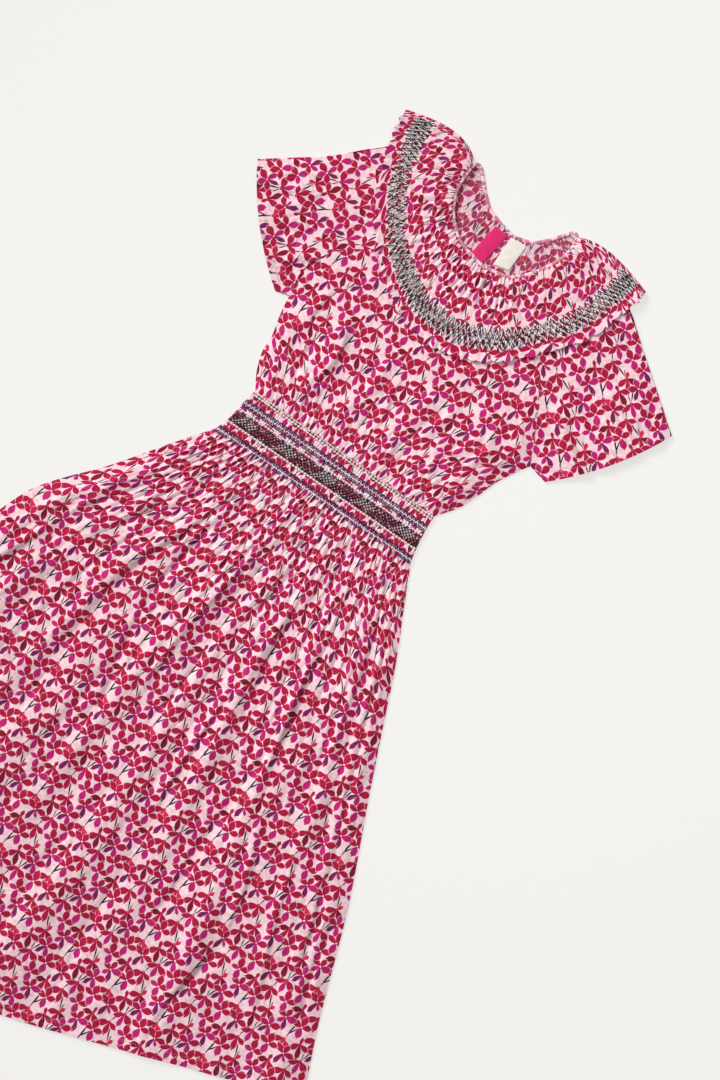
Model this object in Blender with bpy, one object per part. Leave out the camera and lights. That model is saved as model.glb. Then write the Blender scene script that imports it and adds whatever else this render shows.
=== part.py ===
"""A smocked dress laid flat: gathered round collar, bodice, two short sleeves,
smocked waist band and gathered flared skirt.

The dress lies on its back on the plane z = 0. +Y points from the hem to the neck, +X to the
right as seen from above. The tables are in millimetres from the middle of the waist band;
the part's origin is below the middle of the whole dress.
"""

import math

import bmesh
import bpy
import numpy as np

MM = 0.001
CLOTH = 1.2          # wall of every cloth piece
GAP = 0.3            # space between two pieces at a seam or in a stack
SEAM_PUFF = 2.0      # how far the front layer stands off the back one along a sleeve seam
SEAM_EASE = 24.0     # distance from a flat side seam over which the front layer rises
NECK_INSET = 9.0     # width of the bound edge, from the neck opening to the gathered cloth

# The round collar is drawn about this point. Within its reach the back layer is stepped up,
# to lie on the back of the collar, and the front layer stays low under the front of it.
COLLAR_MIDDLE = np.array([6.5, 416.0])
COLLAR_REACH = 228.0
STEP_WIDTH = 26.0
COLLAR_UNDER = 2 * (CLOTH + GAP) + SEAM_PUFF + CLOTH + GAP
COLLAR_FOLD = (COLLAR_UNDER + CLOTH) / 2

# Ridges of each kind. They drift a little, so that no two are quite alike.
GATHERS_SKIRT = 17
GATHERS_WAIST = 12
PLEATS_BAND = 36
PLEATS_COLLAR = 44
RUFFLE_WAVES = 22
CUFF_WAVES = 3
GATHER_DRIFT = 0.22
DRIFT_WAVES = 2.6
DRIFT_START = 0.7
COLUMNS_PER_GATHER = 4

# Heights of the cloth above the layer under it, in mm; reaches are shares of a panel's length.
SKIRT_GATHER_HEIGHT = 2.6
SKIRT_GATHER_REACH = (0.05, 0.55)
SKIRT_LIFT = 1.5
SKIRT_LIFT_REACH = (0.0, 0.3)
FOLD_TOP_WIDTH = 0.45
FOLD_FADE_REACH = (-0.1, 0.3)
SKIRT_ROWS = 13
SKIRT_ROW_POWER = 1.25
HEM_SAG_POWER = 1.6
BACK_INSET = 1.5
BAND_LOW = 0.15
BAND_PINCH = (1.5, 0.7)
WAIST_GATHER_HEIGHT = 2.4
WAIST_GATHER_REACH = (0.08, 0.5)
YOKE_GATHER_HEIGHT = 2.2
YOKE_GATHER_REACH = (0.35, 0.55)
YOKE_GATHER_SHIFT = 0.04
BODICE_LIFT = 2.0
BODICE_FULLNESS = 2.0
BODICE_FULL_BELOW = 0.6
BODICE_FOLD_REACH = (0.0, 0.2)
NECK_CURVE_POWER = 2.2

# position down the seam, left x, left y, right x, right y
SKIRT_SIDES = [
    (0.00, -154, -33, 152, -32),
    (0.08, -188, -78, 175, -80),
    (0.20, -240, -150, 211, -153),
    (0.33, -307, -234, 248, -240),
    (0.42, -333, -296, 278, -310),
    (0.60, -392, -410, 338, -446),
    (0.80, -459, -530, 392, -592),
    (1.00, -526, -650, 433, -689),
]

# position along the hem, x, y
SKIRT_HEM = [
    (0.00, -526, -650),
    (0.20, -364, -780),
    (0.43, -130, -856),
    (0.61, 45, -820),
    (0.80, 239, -755),
    (1.00, 433, -689),
]

# place across at the waist, place across at the hem, start and end down the skirt,
# half width in mm, height in mm
SKIRT_FOLDS = [
    (0.07, 0.05, -0.10, 0.70, 20, 5.0),
    (0.17, 0.13, 0.10, 1.30, 26, 7.0),
    (0.28, 0.27, -0.10, 0.60, 16, 5.0),
    (0.38, 0.35, 0.25, 1.40, 30, 8.0),
    (0.47, 0.45, -0.10, 0.75, 18, 6.0),
    (0.57, 0.57, 0.30, 1.30, 28, 7.0),
    (0.66, 0.68, -0.10, 0.80, 18, 6.0),
    (0.77, 0.79, 0.20, 1.40, 26, 7.5),
    (0.88, 0.91, -0.10, 0.90, 18, 5.0),
    (0.94, 0.96, 0.55, 1.40, 16, 5.0),
]

# place across, half width in mm, height in mm
BODICE_FOLDS = [
    (0.22, 16, 3.0),
    (0.41, 13, 4.0),
    (0.60, 15, 3.5),
    (0.80, 16, 3.0),
]

# position up the band, left x, left y, right x, right y
BAND_SIDES = [
    (0.0, -154, -33, 152, -32),
    (0.3, -148, -13, 148, -13),
    (0.7, -144, 15, 145, 13),
    (1.0, -140, 34, 144, 31),
]

# position up the side seam, left x, left y, right x, right y; the last row is the underarm
BODICE_SIDES = [
    (0.0, -140, 34, 144, 31),
    (0.2, -153, 56, 165, 60),
    (0.4, -162, 82, 176, 86),
    (0.6, -163, 105, 185, 112),
    (0.8, -170, 135, 197, 135),
    (1.0, -174, 161, 210, 156),
]

# position from the neck to the underarm, front seam x and y, back seam x and y
LEFT_RAGLAN = [
    (0.00, -63, 370, -40, 411),
    (0.18, -86, 325, -72, 345),
    (0.38, -112, 278, -112, 278),
    (0.58, -153, 247, -153, 247),
    (0.80, -177, 202, -177, 202),
    (1.00, -174, 161, -174, 161),
]
RIGHT_RAGLAN = [
    (0.00, 81, 373, 67, 405),
    (0.25, 105, 330, 98, 345),
    (0.50, 136, 286, 136, 286),
    (0.72, 160, 248, 160, 248),
    (0.88, 183, 211, 183, 211),
    (1.00, 210, 156, 210, 156),
]

# position from the neck to the cuff (the underarm is at 1), shoulder fold x and y
LEFT_SHOULDER = [
    (0.00, -80, 435),
    (0.18, -122, 422),
    (0.38, -165, 403),
    (0.58, -192, 381),
    (0.80, -231, 343),
    (1.00, -270, 313),
    (1.25, -308, 285),
]
RIGHT_SHOULDER = [
    (0.00, 102, 425),
    (0.25, 128, 419),
    (0.50, 166, 409),
    (0.72, 203, 396),
    (0.88, 245, 364),
    (1.00, 288, 332),
    (1.25, 339, 293),
]
LEFT_CUFF_CORNER = (-192, 156)
RIGHT_CUFF_CORNER = (237, 150)
SLEEVE_WAVE = 0.6
CUFF_WAVE = 3.2
CUFF_WAVE_FROM = 0.6
UNDERARM_ALONG = (0.86, 1.0)
UNDERARM_ACROSS = (0.72, 1.0)
FOLD_EASE = 0.15
NECK_BOW_REACH = 0.18
CUFF_AT = 1.25
CUFF_BOW = 9.0
NECK_BOW = 7.0
NECK_ROUNDNESS = 2.7
FRONT_NECK_DROP = 42.0
BACK_NECK_DROP = 24.0
UNDERARM_AT = 0.42   # share of the bodice's height, from the band to the neck

# round the front of the collar from the left shoulder fold: neck x and y, edge x and y
COLLAR_FRONT = [
    (0, -70, 440, -185, 447),
    (1, -70, 428, -184, 427),
    (2, -70, 408, -177, 398),
    (3, -67, 394, -160, 345),
    (4, -57, 374, -125, 288),
    (5, -42, 357, -88, 252),
    (6, -27, 347, -55, 230),
    (7, -9, 342, -17, 215),
    (8, 11, 338, 28, 213),
    (9, 30, 341, 72, 227),
    (10, 46, 345, 113, 257),
    (11, 60, 357, 150, 298),
    (12, 75, 377, 181, 340),
    (13, 86, 398, 196, 388),
    (14, 90, 415, 203, 412),
    (15, 87, 434, 205, 428),
]
COLLAR_ROWS = COLLAR_FRONT[-1][0]
BACK_LAP = 12.0      # how far the front collar turns under at the shoulder
SHOULDER_BOW = (16.0, 12.5)    # how far each shoulder edge of the collar bulges, left and right
NO_BOW = (0.0, 0.0)
BOW_POWER = 0.7      # under 1, the bulge is fuller near the neck
BOW_ROWS = 2.5       # the rows over which the bulge fades
COLLAR_OUTWARD = np.array([0, 0.12, 0.3, 0.48, 0.60, 0.70, 0.80, 0.89, 1.0])
SMOCKED_REACH = (0.48, 0.60, 0.85, 0.95)
COLLAR_LOW = 0.3
COLLAR_PINCH = (0.8, 1.4)
NECK_GATHER_HEIGHT = 1.2
NECK_GATHER_REACH = (0.30, 0.58)
RUFFLE_HEIGHT = 1.5
RUFFLE_SHIFT = 0.01
RUFFLE_PUSH = 3.0
RUFFLE_PULL = 2.0
INNER_SKIP = 4       # the plain inside has one point for this many on the smocked outside

# the back of the collar, same columns, already clear of the bound neck edge
COLLAR_BACK = [
    (0, -76, 427.5, -182, 434),
    (1, -62, 430, -180, 420),
    (2, -50, 421, -174, 397),
    (3, -40, 412, -157, 346),
    (4, -30, 404, -122, 290),
    (5, -21, 396, -86, 255),
    (6, -8, 391.5, -54, 233),
    (7, 4, 388.5, -17, 218),
    (8, 16, 387.5, 28, 216),
    (9, 29, 388.5, 71, 230),
    (10, 41, 390, 111, 260),
    (11, 52, 394, 148, 300),
    (12, 62, 401, 178, 341),
    (13, 70, 409, 193, 385),
    (14, 79, 416, 200, 402),
    (15, 92, 421.5, 202, 415.5),
]

# middle line of the neck binding, from the left shoulder along the front and back again:
# x, y, height of its middle above the ground
NECK_LINE = [
    (-73, 425, 6.0), (-73, 408, 6.3), (-70, 392, 6.3), (-60, 372, 6.3), (-44, 354.5, 6.3),
    (-28, 344, 6.3), (-9, 339, 6.3), (11, 335, 6.3), (31, 338, 6.3), (48, 342.5, 6.3),
    (63, 355, 6.3), (78, 375.5, 6.3), (89, 397, 6.3), (93.5, 411, 6.3), (94, 424, 6.0),
    (92, 434, 4.8), (87, 438, 3.6), (81, 434, 2.4), (73, 424, 1.7), (60, 408, 1.6),
    (43, 395, 1.6), (16, 391, 1.6), (-19, 400.5, 1.6), (-36, 413, 1.6), (-48, 425, 1.7),
    (-60, 437.5, 2.4), (-67, 440.5, 3.6), (-72, 436, 5.0),
]
BINDING_WIDTH = 5.0
BINDING_HEIGHT = 3.0
BINDING_SIDES = 6
BINDING_STEP = 0.5
LOOK_AHEAD = 0.05

# the strip that faces the back opening, and the blank label: corners seen from above
FACING_CORNERS = [(-16, 300), (4.5, 300), (16.5, 386), (-4, 388)]
LABEL_CORNERS = [(21.5, 345), (43, 350), (44.5, 389), (21, 387)]
TRIM_THICKNESS = 1.0

PRINT = (0.60, 0.13, 0.25)
SMOCKED = (0.32, 0.10, 0.20)
PALE = (0.80, 0.62, 0.64)
HOT_PINK = (0.72, 0.03, 0.17)
CREAM = (0.80, 0.76, 0.68)


def dress_centre():
    """The middle of the whole outline, which becomes the part's origin."""
    hem = np.array(SKIRT_HEM)[:, 1:]
    shoulder = np.array([0.0])
    collar = collar_plan(COLLAR_FRONT, shoulder, COLLAR_OUTWARD, NECK_INSET, SHOULDER_BOW)
    low = [hem[:, 0].min(), hem[:, 1].min()]
    high = [hem[:, 0].max(), collar[:, :, 1].max()]
    return (np.array(low) + np.array(high)) / 2


def smooth(value, low, high):
    """0 below low, 1 above high, with a soft ramp between."""
    u = np.clip((value - low) / (high - low), 0, 1)
    return u * u * (3 - 2 * u)


def through(table, at):
    """A smooth curve through rows of (position, values...), read at the positions at."""
    rows = np.array(table, float)
    place, values = rows[:, 0], rows[:, 1:]
    slope = np.gradient(values, place, axis=0)
    k = np.clip(np.searchsorted(place, at, side="right") - 1, 0, len(place) - 2)
    span = (place[k + 1] - place[k])[:, None]
    u = (at - place[k])[:, None] / span
    start = (2 * u**3 - 3 * u**2 + 1) * values[k] + (u**3 - 2 * u**2 + u) * span * slope[k]
    end = (3 * u**2 - 2 * u**3) * values[k + 1] + (u**3 - u**2) * span * slope[k + 1]
    return start + end


def between(left, right, across):
    """A grid of points from each left point to its right one."""
    across = across[None, :, None]
    return left[:, None, :] * (1 - across) + right[:, None, :] * across


def trimmed(left, right, gap):
    """The two edges moved towards each other by gap."""
    step = right - left
    step = step / np.linalg.norm(step, axis=1)[:, None] * gap
    return left + step, right - step


def back_level(plan):
    """Height of the underside of the back layer: on the ground, or on the back of the collar."""
    far = np.linalg.norm(plan - COLLAR_MIDDLE, axis=-1)
    return (CLOTH + GAP) * (1 - smooth(far, COLLAR_REACH, COLLAR_REACH + STEP_WIDTH))


def clear_of_collar(plan):
    """0 under the collar and 1 well outside it, where the front layer may rise."""
    far = np.linalg.norm(plan - COLLAR_MIDDLE, axis=-1)
    return smooth(far, COLLAR_REACH, COLLAR_REACH + 2 * STEP_WIDTH)


def raised(plan, height):
    """Plan points with a height each."""
    return np.concatenate([plan, np.broadcast_to(height, plan.shape[:-1])[..., None]], axis=-1)


def gather(across, count):
    """Soft ridges from 0 to 1, not quite evenly spaced."""
    drift = GATHER_DRIFT * np.sin(2 * math.pi * DRIFT_WAVES * across + DRIFT_START)
    return 0.5 - 0.5 * np.cos(2 * math.pi * (count * across + drift))


def material(name, colour, roughness=0.85):
    made = bpy.data.materials.new(name)
    made.use_nodes = True
    shader = made.node_tree.nodes["Principled BSDF"]
    shader.inputs["Base Color"].default_value = (*colour, 1)
    shader.inputs["Roughness"].default_value = roughness
    shader.inputs["Metallic"].default_value = 0.0
    return made


def add_skin(bm, points):
    """The faces of one grid; returns its four edges, each from corner to corner."""
    verts = [[bm.verts.new(place(p)) for p in row] for row in points]
    for low, high in zip(verts, verts[1:]):
        for j in range(len(low) - 1):
            bm.faces.new((low[j], low[j + 1], high[j + 1], high[j]))
    return [verts[0], verts[-1], [row[0] for row in verts], [row[-1] for row in verts]]


def place(point):
    """A point of the tables, in millimetres, as a point of the part, in metres."""
    return ((point[0] - CENTRE[0]) * MM, (point[1] - CENTRE[1]) * MM, point[2] * MM)


def zip_edges(bm, one, other):
    """Triangles between two lines of points that run side by side."""
    i = j = 0
    while i < len(one) - 1 or j < len(other) - 1:
        ahead = (i + 1) * (len(other) - 1) <= (j + 1) * (len(one) - 1)
        if j == len(other) - 1 or (ahead and i < len(one) - 1):
            bm.faces.new((one[i], one[i + 1], other[j]))
            i += 1
        else:
            bm.faces.new((one[i], other[j + 1], other[j]))
            j += 1


def finish(name, bm, look):
    """Turn the faces outwards and link the mesh as one object."""
    bmesh.ops.recalc_face_normals(bm, faces=bm.faces)
    mesh = bpy.data.meshes.new(name)
    bm.to_mesh(mesh)
    bm.free()
    mesh.materials.append(look)
    mesh.shade_smooth()
    mesh.set_sharp_from_angle(angle=math.radians(50))
    made = bpy.data.objects.new(name, mesh)
    bpy.context.collection.objects.link(made)
    return made


def wall(name, outside, inside, look):
    """One closed wall of cloth between an outside and an inside grid of points."""
    bm = bmesh.new()
    for one, other in zip(add_skin(bm, outside), add_skin(bm, inside)):
        zip_edges(bm, one, other)
    return finish(name, bm, look)


def skirt_plan(down, across, inset):
    """Plan points of a skirt panel, which fans out from the waist to the hem."""
    sides = through(SKIRT_SIDES, down)
    left, right = trimmed(sides[:, :2], sides[:, 2:], inset)
    hem = through(SKIRT_HEM, across)
    chord = between(hem[:1], hem[-1:], across)[0]
    sag = (hem - chord)[None] * (down**HEM_SAG_POWER)[:, None, None]
    plan = between(left, right, across) + sag
    plan[:, :, 1] -= (GAP + inset) * (1 - down)[:, None]
    return plan


def skirt_rise(down, across, plan):
    """Height of the skirt's gathers and folds above the layer below."""
    s, t = across[None, :], down[:, None]
    wide = np.linalg.norm(plan[:, -1] - plan[:, 0], axis=1)[:, None]
    rise = SKIRT_GATHER_HEIGHT * gather(s, GATHERS_SKIRT) * (1 - smooth(t, *SKIRT_GATHER_REACH))
    for top, foot, start, end, half_width, height in SKIRT_FOLDS:
        off = (s - top - (foot - top) * t) * wide
        reach = np.sin(math.pi * np.clip((t - start) / (end - start), 0, 1))
        narrow = half_width * (FOLD_TOP_WIDTH + (1 - FOLD_TOP_WIDTH) * t)
        fold = height * reach * np.exp(-(off / narrow) ** 2)
        rise = rise + fold * smooth(t, *FOLD_FADE_REACH)
    rise = rise + SKIRT_LIFT * smooth(t, *SKIRT_LIFT_REACH)
    return rise * smooth(np.minimum(s, 1 - s) * wide, 0, SEAM_EASE)


def make_skirt(look):
    """Gathered front of the skirt and the flat back under it."""
    down = np.linspace(0, 1, SKIRT_ROWS) ** SKIRT_ROW_POWER
    across = np.linspace(0, 1, COLUMNS_PER_GATHER * GATHERS_SKIRT + 1)
    plan = skirt_plan(down, across, 0.0)
    under = CLOTH + GAP + skirt_rise(down, across, plan)
    wall("skirt_front", raised(plan, under + CLOTH), raised(plan, under), look)
    flat = skirt_plan(np.linspace(0, 1, 11), np.linspace(0, 1, 15), BACK_INSET)
    wall("skirt_back", raised(flat, 0.0), raised(flat, CLOTH), look)


def band_plan(up, across, inset):
    """Plan points of the waist band."""
    sides = through(BAND_SIDES, up)
    left, right = trimmed(sides[:, :2], sides[:, 2:], inset)
    return between(left, right, across)


def make_band(look):
    """The waist band: pleats pinched by rows of stitching on a plain inside."""
    up = np.linspace(0, 1, 8)
    across = np.linspace(0, 1, 2 * PLEATS_BAND + 1)
    ridge = np.arange(len(across)) % 2
    pinch = np.array(BAND_PINCH)[np.arange(len(up)) % 2]
    relief = BAND_LOW + pinch[:, None] * ridge[None, :]
    relief[:, [0, -1]] = BAND_LOW
    plan = band_plan(up, across, 0.0)
    inner_up = np.array(BAND_SIDES)[:, 0]
    inside = band_plan(inner_up, np.linspace(0, 1, 9), 0.0)
    wall("waistband_front", raised(plan, CLOTH + GAP + CLOTH + relief),
         raised(inside, CLOTH + GAP), look)
    flat = band_plan(inner_up, np.linspace(0, 1, 5), BACK_INSET)
    wall("waistband_back", raised(flat, 0.0), raised(flat, CLOTH), look)


def bodice_plan(side_up, seam_up, across, seam_columns, dip):
    """Plan points of a bodice panel: side seams, then sleeve seams up to the neck curve."""
    side = through(BODICE_SIDES, side_up)
    seam = seam_columns + 1
    left_seam = through(LEFT_RAGLAN, 1 - seam_up)[:, seam_columns:seam + 1]
    right_seam = through(RIGHT_RAGLAN, 1 - seam_up)[:, seam_columns:seam + 1]
    left = np.concatenate([side[:, :2], left_seam[1:]])
    right = np.concatenate([side[:, 2:], right_seam[1:]])
    left, right = trimmed(left, right, GAP)
    plan = between(left, right, across)
    rise = np.concatenate([0 * side_up, seam_up[1:] ** NECK_CURVE_POWER])
    curve = 1 - np.abs(2 * across - 1) ** NECK_ROUNDNESS
    plan[:, :, 1] -= dip * rise[:, None] * curve[None, :]
    plan[:, :, 1] += GAP * (1 - smooth(np.arange(len(rise)), 0, 3))[:, None]
    return plan


def bodice_rise(plan, height, across):
    """Gathers above the band and below the collar, and a few long folds between."""
    s, t = across[None, :], height[:, None]
    wide = np.linalg.norm(plan[:, -1] - plan[:, 0], axis=1)[:, None]
    at_waist = WAIST_GATHER_HEIGHT * gather(s, GATHERS_WAIST)
    at_waist = at_waist * (1 - smooth(t, *WAIST_GATHER_REACH))
    at_collar = YOKE_GATHER_HEIGHT * gather(s + YOKE_GATHER_SHIFT, GATHERS_WAIST - 1)
    at_collar = at_collar * smooth(t, *YOKE_GATHER_REACH)
    long_folds = 0
    for middle, half_width, rise in BODICE_FOLDS:
        long_folds = long_folds + rise * np.exp(-((s - middle) * wide / half_width) ** 2)
    long_folds = long_folds * smooth(t, *BODICE_FOLD_REACH)
    full = np.sin(math.pi * np.clip(t / BODICE_FULL_BELOW, 0, 1))
    body = BODICE_LIFT + BODICE_FULLNESS * full
    free = (at_waist + at_collar + long_folds + body) * clear_of_collar(plan)
    inward = smooth(np.minimum(s, 1 - s) * wide, 0, SEAM_EASE)
    edge = SEAM_PUFF * smooth(t, UNDERARM_AT, UNDERARM_AT + 0.1)
    return edge + (np.maximum(free, SEAM_PUFF) - edge) * inward


def make_bodice(look):
    """Front and back of the bodice, up to the neck opening."""
    side_up, seam_up = np.linspace(0, 1, 7), np.linspace(0, 1, 9)
    height = np.concatenate([UNDERARM_AT * side_up, UNDERARM_AT + (1 - UNDERARM_AT) * seam_up[1:]])
    across = np.linspace(0, 1, COLUMNS_PER_GATHER * GATHERS_WAIST + 1)
    plan = bodice_plan(side_up, seam_up, across, 0, FRONT_NECK_DROP)
    under = back_level(plan) + CLOTH + GAP + bodice_rise(plan, height, across)
    wall("bodice_front", raised(plan, under + CLOTH), raised(plan, under), look)
    flat = bodice_plan(side_up, seam_up, np.linspace(0, 1, 11), 2, BACK_NECK_DROP)
    level = back_level(flat)
    wall("bodice_back", raised(flat, level), raised(flat, level + CLOTH), look)


def sleeve_edges(raglan, shoulder, corner, along):
    """Shoulder fold, front seam and back seam of a sleeve, at positions from neck to cuff."""
    fold = through(shoulder, along)
    seams = through(raglan, np.minimum(along, 1))
    cuff = np.clip((along - 1) / (CUFF_AT - 1), 0, 1)[:, None]
    corner = np.array([*corner, *corner], float)
    seams = seams * (1 - cuff) + corner * cuff
    return fold, seams[:, :2], seams[:, 2:]


def sleeve_layer(fold, seam, along, inward, neck_bow):
    """Plan points from the shoulder fold to a seam, inward running from 0 to 1."""
    grid = between(fold, seam, inward)
    arc = 4 * inward * (1 - inward)
    middle = (fold + seam) / 2
    out = middle[-1] - middle[-3]
    out = out / np.linalg.norm(out)
    cuff = smooth(along, 1.0, CUFF_AT)
    grid = grid + CUFF_BOW * cuff[:, None, None] * arc[None, :, None] * out
    neck = 1 - smooth(along, 0, NECK_BOW_REACH)
    side = np.array([math.copysign(neck_bow, out[0]), 0.0])
    return grid + neck[:, None, None] * arc[None, :, None] * side


def make_sleeve(name, raglan, shoulder, corner, look):
    """One piece of cloth folded along the shoulder, its two edges meeting under the arm."""
    along = np.concatenate([np.linspace(0, 1, 9), [1.08, 1.17, CUFF_AT]])
    fold, front, back = sleeve_edges(raglan, shoulder, corner, along)
    front, back = trimmed(fold, front, GAP)[1], trimmed(fold, back, GAP)[1]
    upper_in = np.linspace(0, 1, 11)
    lower_in = np.linspace(0, 1, 5)
    upper = sleeve_layer(fold, front, along, upper_in, NECK_BOW)
    lower = sleeve_layer(fold, back, along, lower_in, 0.0)

    ground = back_level(upper)
    free = clear_of_collar(upper)
    t, a = along[:, None], upper_in[None, :]
    wave = SLEEVE_WAVE + CUFF_WAVE * smooth(t, CUFF_WAVE_FROM, CUFF_AT)
    wave = wave * gather(a * 0.9 + 0.1 * t, CUFF_WAVES)
    under_arm = smooth(t, *UNDERARM_ALONG) * smooth(a, *UNDERARM_ACROSS)
    puff = (SEAM_PUFF + wave * free * smooth(a, 0, FOLD_EASE)) * (1 - under_arm)

    floor = back_level(lower)
    thick = 2 * CLOTH + GAP + SEAM_PUFF
    radius = thick / 2
    wide = np.linalg.norm(front - fold, axis=1)
    into = (front - fold) / wide[:, None]
    angles = np.radians([-90, -45, 0, 45, 90])
    edge = fold[:, None, :] + into[:, None, :] * (radius * (1 - np.cos(angles)))[None, :, None]
    edge_in = fold[:, None, :] + into[:, None, :] * (
        radius - (radius - CLOTH) * np.cos(angles))[None, :, None]
    middle = back_level(fold)[:, None] + radius
    rim = raised(edge, middle + radius * np.sin(angles)[None, :])
    rim_in = raised(edge_in, middle + (radius - CLOTH) * np.sin(angles)[None, :])

    outside = np.concatenate([
        raised(lower, floor)[:, :0:-1], rim,
        raised(upper, ground + 2 * CLOTH + GAP + puff)[:, 1:]], axis=1)
    inside = np.concatenate([
        raised(lower, floor + CLOTH)[:, :0:-1], rim_in,
        raised(upper, ground + CLOTH + GAP + puff)[:, 1:]], axis=1)
    wall(name, outside, inside, look)


def collar_plan(table, rows, outward, inset, bow):
    """Plan points of a collar: rows run round the neck, outward from neck to edge."""
    ends = through(table, rows)
    neck, edge = ends[:, :2], ends[:, 2:]
    step = (edge - neck) / np.linalg.norm(edge - neck, axis=1)[:, None]
    neck = neck + step * inset
    plan = between(neck, edge, outward).transpose(1, 0, 2)
    at_left = bow[0] * (1 - smooth(rows, 0, BOW_ROWS))
    at_right = bow[1] * (1 - smooth(COLLAR_ROWS - rows, 0, BOW_ROWS))
    arc = np.sin(math.pi * outward**BOW_POWER)
    plan[:, :, 1] += arc[:, None] * (at_left + at_right)[None, :]
    return plan


def make_collar(look):
    """Front half with its turned shoulder ends, and the flat back half."""
    outward = COLLAR_OUTWARD
    rows = np.linspace(0.5, COLLAR_ROWS - 0.5, 2 * PLEATS_COLLAR + 1)
    front = collar_plan(COLLAR_FRONT, rows, outward, NECK_INSET, SHOULDER_BOW)
    ridge = (np.arange(len(rows)) % 2)[None, :]
    turn = rows[None, :] / COLLAR_ROWS
    inner_from, inner_to, outer_from, outer_to = SMOCKED_REACH
    stitched = smooth(outward, inner_from, inner_to)
    stitched = stitched * (1 - smooth(outward, outer_from, outer_to))
    pinch = np.array(COLLAR_PINCH)[np.arange(len(outward)) % 2]
    relief = COLLAR_LOW + (stitched * pinch)[:, None] * ridge
    neck_gathers = gather(turn, PLEATS_COLLAR // 2)
    neck_gathers = neck_gathers * (1 - smooth(outward, *NECK_GATHER_REACH))[:, None]
    waves = smooth(outward, outer_from, 1.0)[:, None] * gather(turn + RUFFLE_SHIFT, RUFFLE_WAVES)
    relief = relief + NECK_GATHER_HEIGHT * neck_gathers + RUFFLE_HEIGHT * waves
    radial = front[-1] - front[-2]
    radial = radial / np.linalg.norm(radial, axis=1)[:, None]
    front[-1] += radial * (RUFFLE_PUSH * waves[-1][:, None] - RUFFLE_PULL)
    top = raised(front, COLLAR_UNDER + CLOTH + relief)
    under = raised(front, COLLAR_UNDER)[::INNER_SKIP]

    ends = collar_plan(COLLAR_FRONT, np.array([0.0, COLLAR_ROWS]), outward, NECK_INSET,
                       SHOULDER_BOW)
    angles = np.radians([90, 45, 0, -45, -90])
    away = np.array([0.0, -1.0])
    small = COLLAR_FOLD - CLOTH
    turned, turned_in = [], []
    for side in (0, 1):
        line = ends[:, side]
        out, inn = [], []
        for angle in angles:
            out.append(raised(line + away * COLLAR_FOLD * (1 - math.cos(angle)),
                              COLLAR_FOLD * (1 + math.sin(angle))))
            inn.append(raised(line + away * (COLLAR_FOLD - small * math.cos(angle)),
                              COLLAR_FOLD + small * math.sin(angle)))
        out.append(raised(line + away * BACK_LAP, 0.0))
        inn.append(raised(line + away * BACK_LAP, CLOTH))
        turned.append(np.stack(out, axis=1))
        turned_in.append(np.stack(inn, axis=1)[::INNER_SKIP])
    outside = np.concatenate([turned[0][:, ::-1], top, turned[1]], axis=1)
    inside = np.concatenate([turned_in[0][:, ::-1], under, turned_in[1]], axis=1)
    wall("collar_front", outside, inside, look)

    rows = np.linspace(0, COLLAR_ROWS, 31)
    flat = collar_plan(COLLAR_BACK, rows, np.linspace(0, 1, 3), 0.0, NO_BOW)
    wall("collar_back", raised(flat, 0.0), raised(flat, CLOTH), look)


def make_binding(look):
    """The bound neck edge: one soft tube round the whole opening."""
    line = np.array(NECK_LINE + NECK_LINE[:2])
    line = np.concatenate([line[-3:-2], line])
    rows = np.concatenate([np.arange(len(line))[:, None] - 1.0, line], axis=1)
    along = np.arange(0, len(NECK_LINE), BINDING_STEP)
    middle = through(rows, along)
    ahead = through(rows, along + LOOK_AHEAD) - through(rows, along - LOOK_AHEAD)
    flat = ahead[:, :2] / np.linalg.norm(ahead[:, :2], axis=1)[:, None]
    side = np.stack([-flat[:, 1], flat[:, 0], 0 * flat[:, 0]], axis=1)
    bm = bmesh.new()
    rings = []
    for centre, across in zip(middle, side):
        ring = []
        for step in range(BINDING_SIDES):
            angle = 2 * math.pi * step / BINDING_SIDES
            point = centre + across * BINDING_WIDTH / 2 * math.cos(angle)
            point = point + np.array([0, 0, BINDING_HEIGHT / 2 * math.sin(angle)])
            ring.append(bm.verts.new(place(point)))
        rings.append(ring)
    for ring, after in zip(rings, rings[1:] + rings[:1]):
        for k in range(BINDING_SIDES):
            m = (k + 1) % BINDING_SIDES
            bm.faces.new((ring[k], ring[m], after[m], after[k]))
    finish("neck_binding", bm, look)


def make_patch(name, corners, look):
    """A flat four-cornered piece on the inside of the back."""
    low = 2 * (CLOTH + GAP)
    grid = np.array([[corners[0], corners[1]], [corners[3], corners[2]]], float)
    wall(name, raised(grid, low + TRIM_THICKNESS), raised(grid, low), look)


for old in list(bpy.data.objects):
    bpy.data.objects.remove(old, do_unlink=True)

CENTRE = dress_centre()

printed = material("printed_cloth", PRINT)
smocked = material("smocked_cloth", SMOCKED)

make_skirt(printed)
make_band(smocked)
make_bodice(printed)
make_sleeve("sleeve_left", LEFT_RAGLAN, LEFT_SHOULDER, LEFT_CUFF_CORNER, printed)
make_sleeve("sleeve_right", RIGHT_RAGLAN, RIGHT_SHOULDER, RIGHT_CUFF_CORNER, printed)
make_collar(smocked)
make_binding(material("bound_edge", PALE))
make_patch("placket_facing", FACING_CORNERS, material("facing_cloth", HOT_PINK))
make_patch("blank_label", LABEL_CORNERS, material("label_tape", CREAM))
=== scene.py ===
"""Looks of the smocked dress: printed cotton with its gathers and creases, smocking threads,
bound neck edge, facing, label, floor, light and camera.

Shapes are drawn in millimetres from the middle of the waist band, +Y towards the neck, as the
dress lies on its back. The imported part's origin is at CENTRE.
"""

import math

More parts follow.
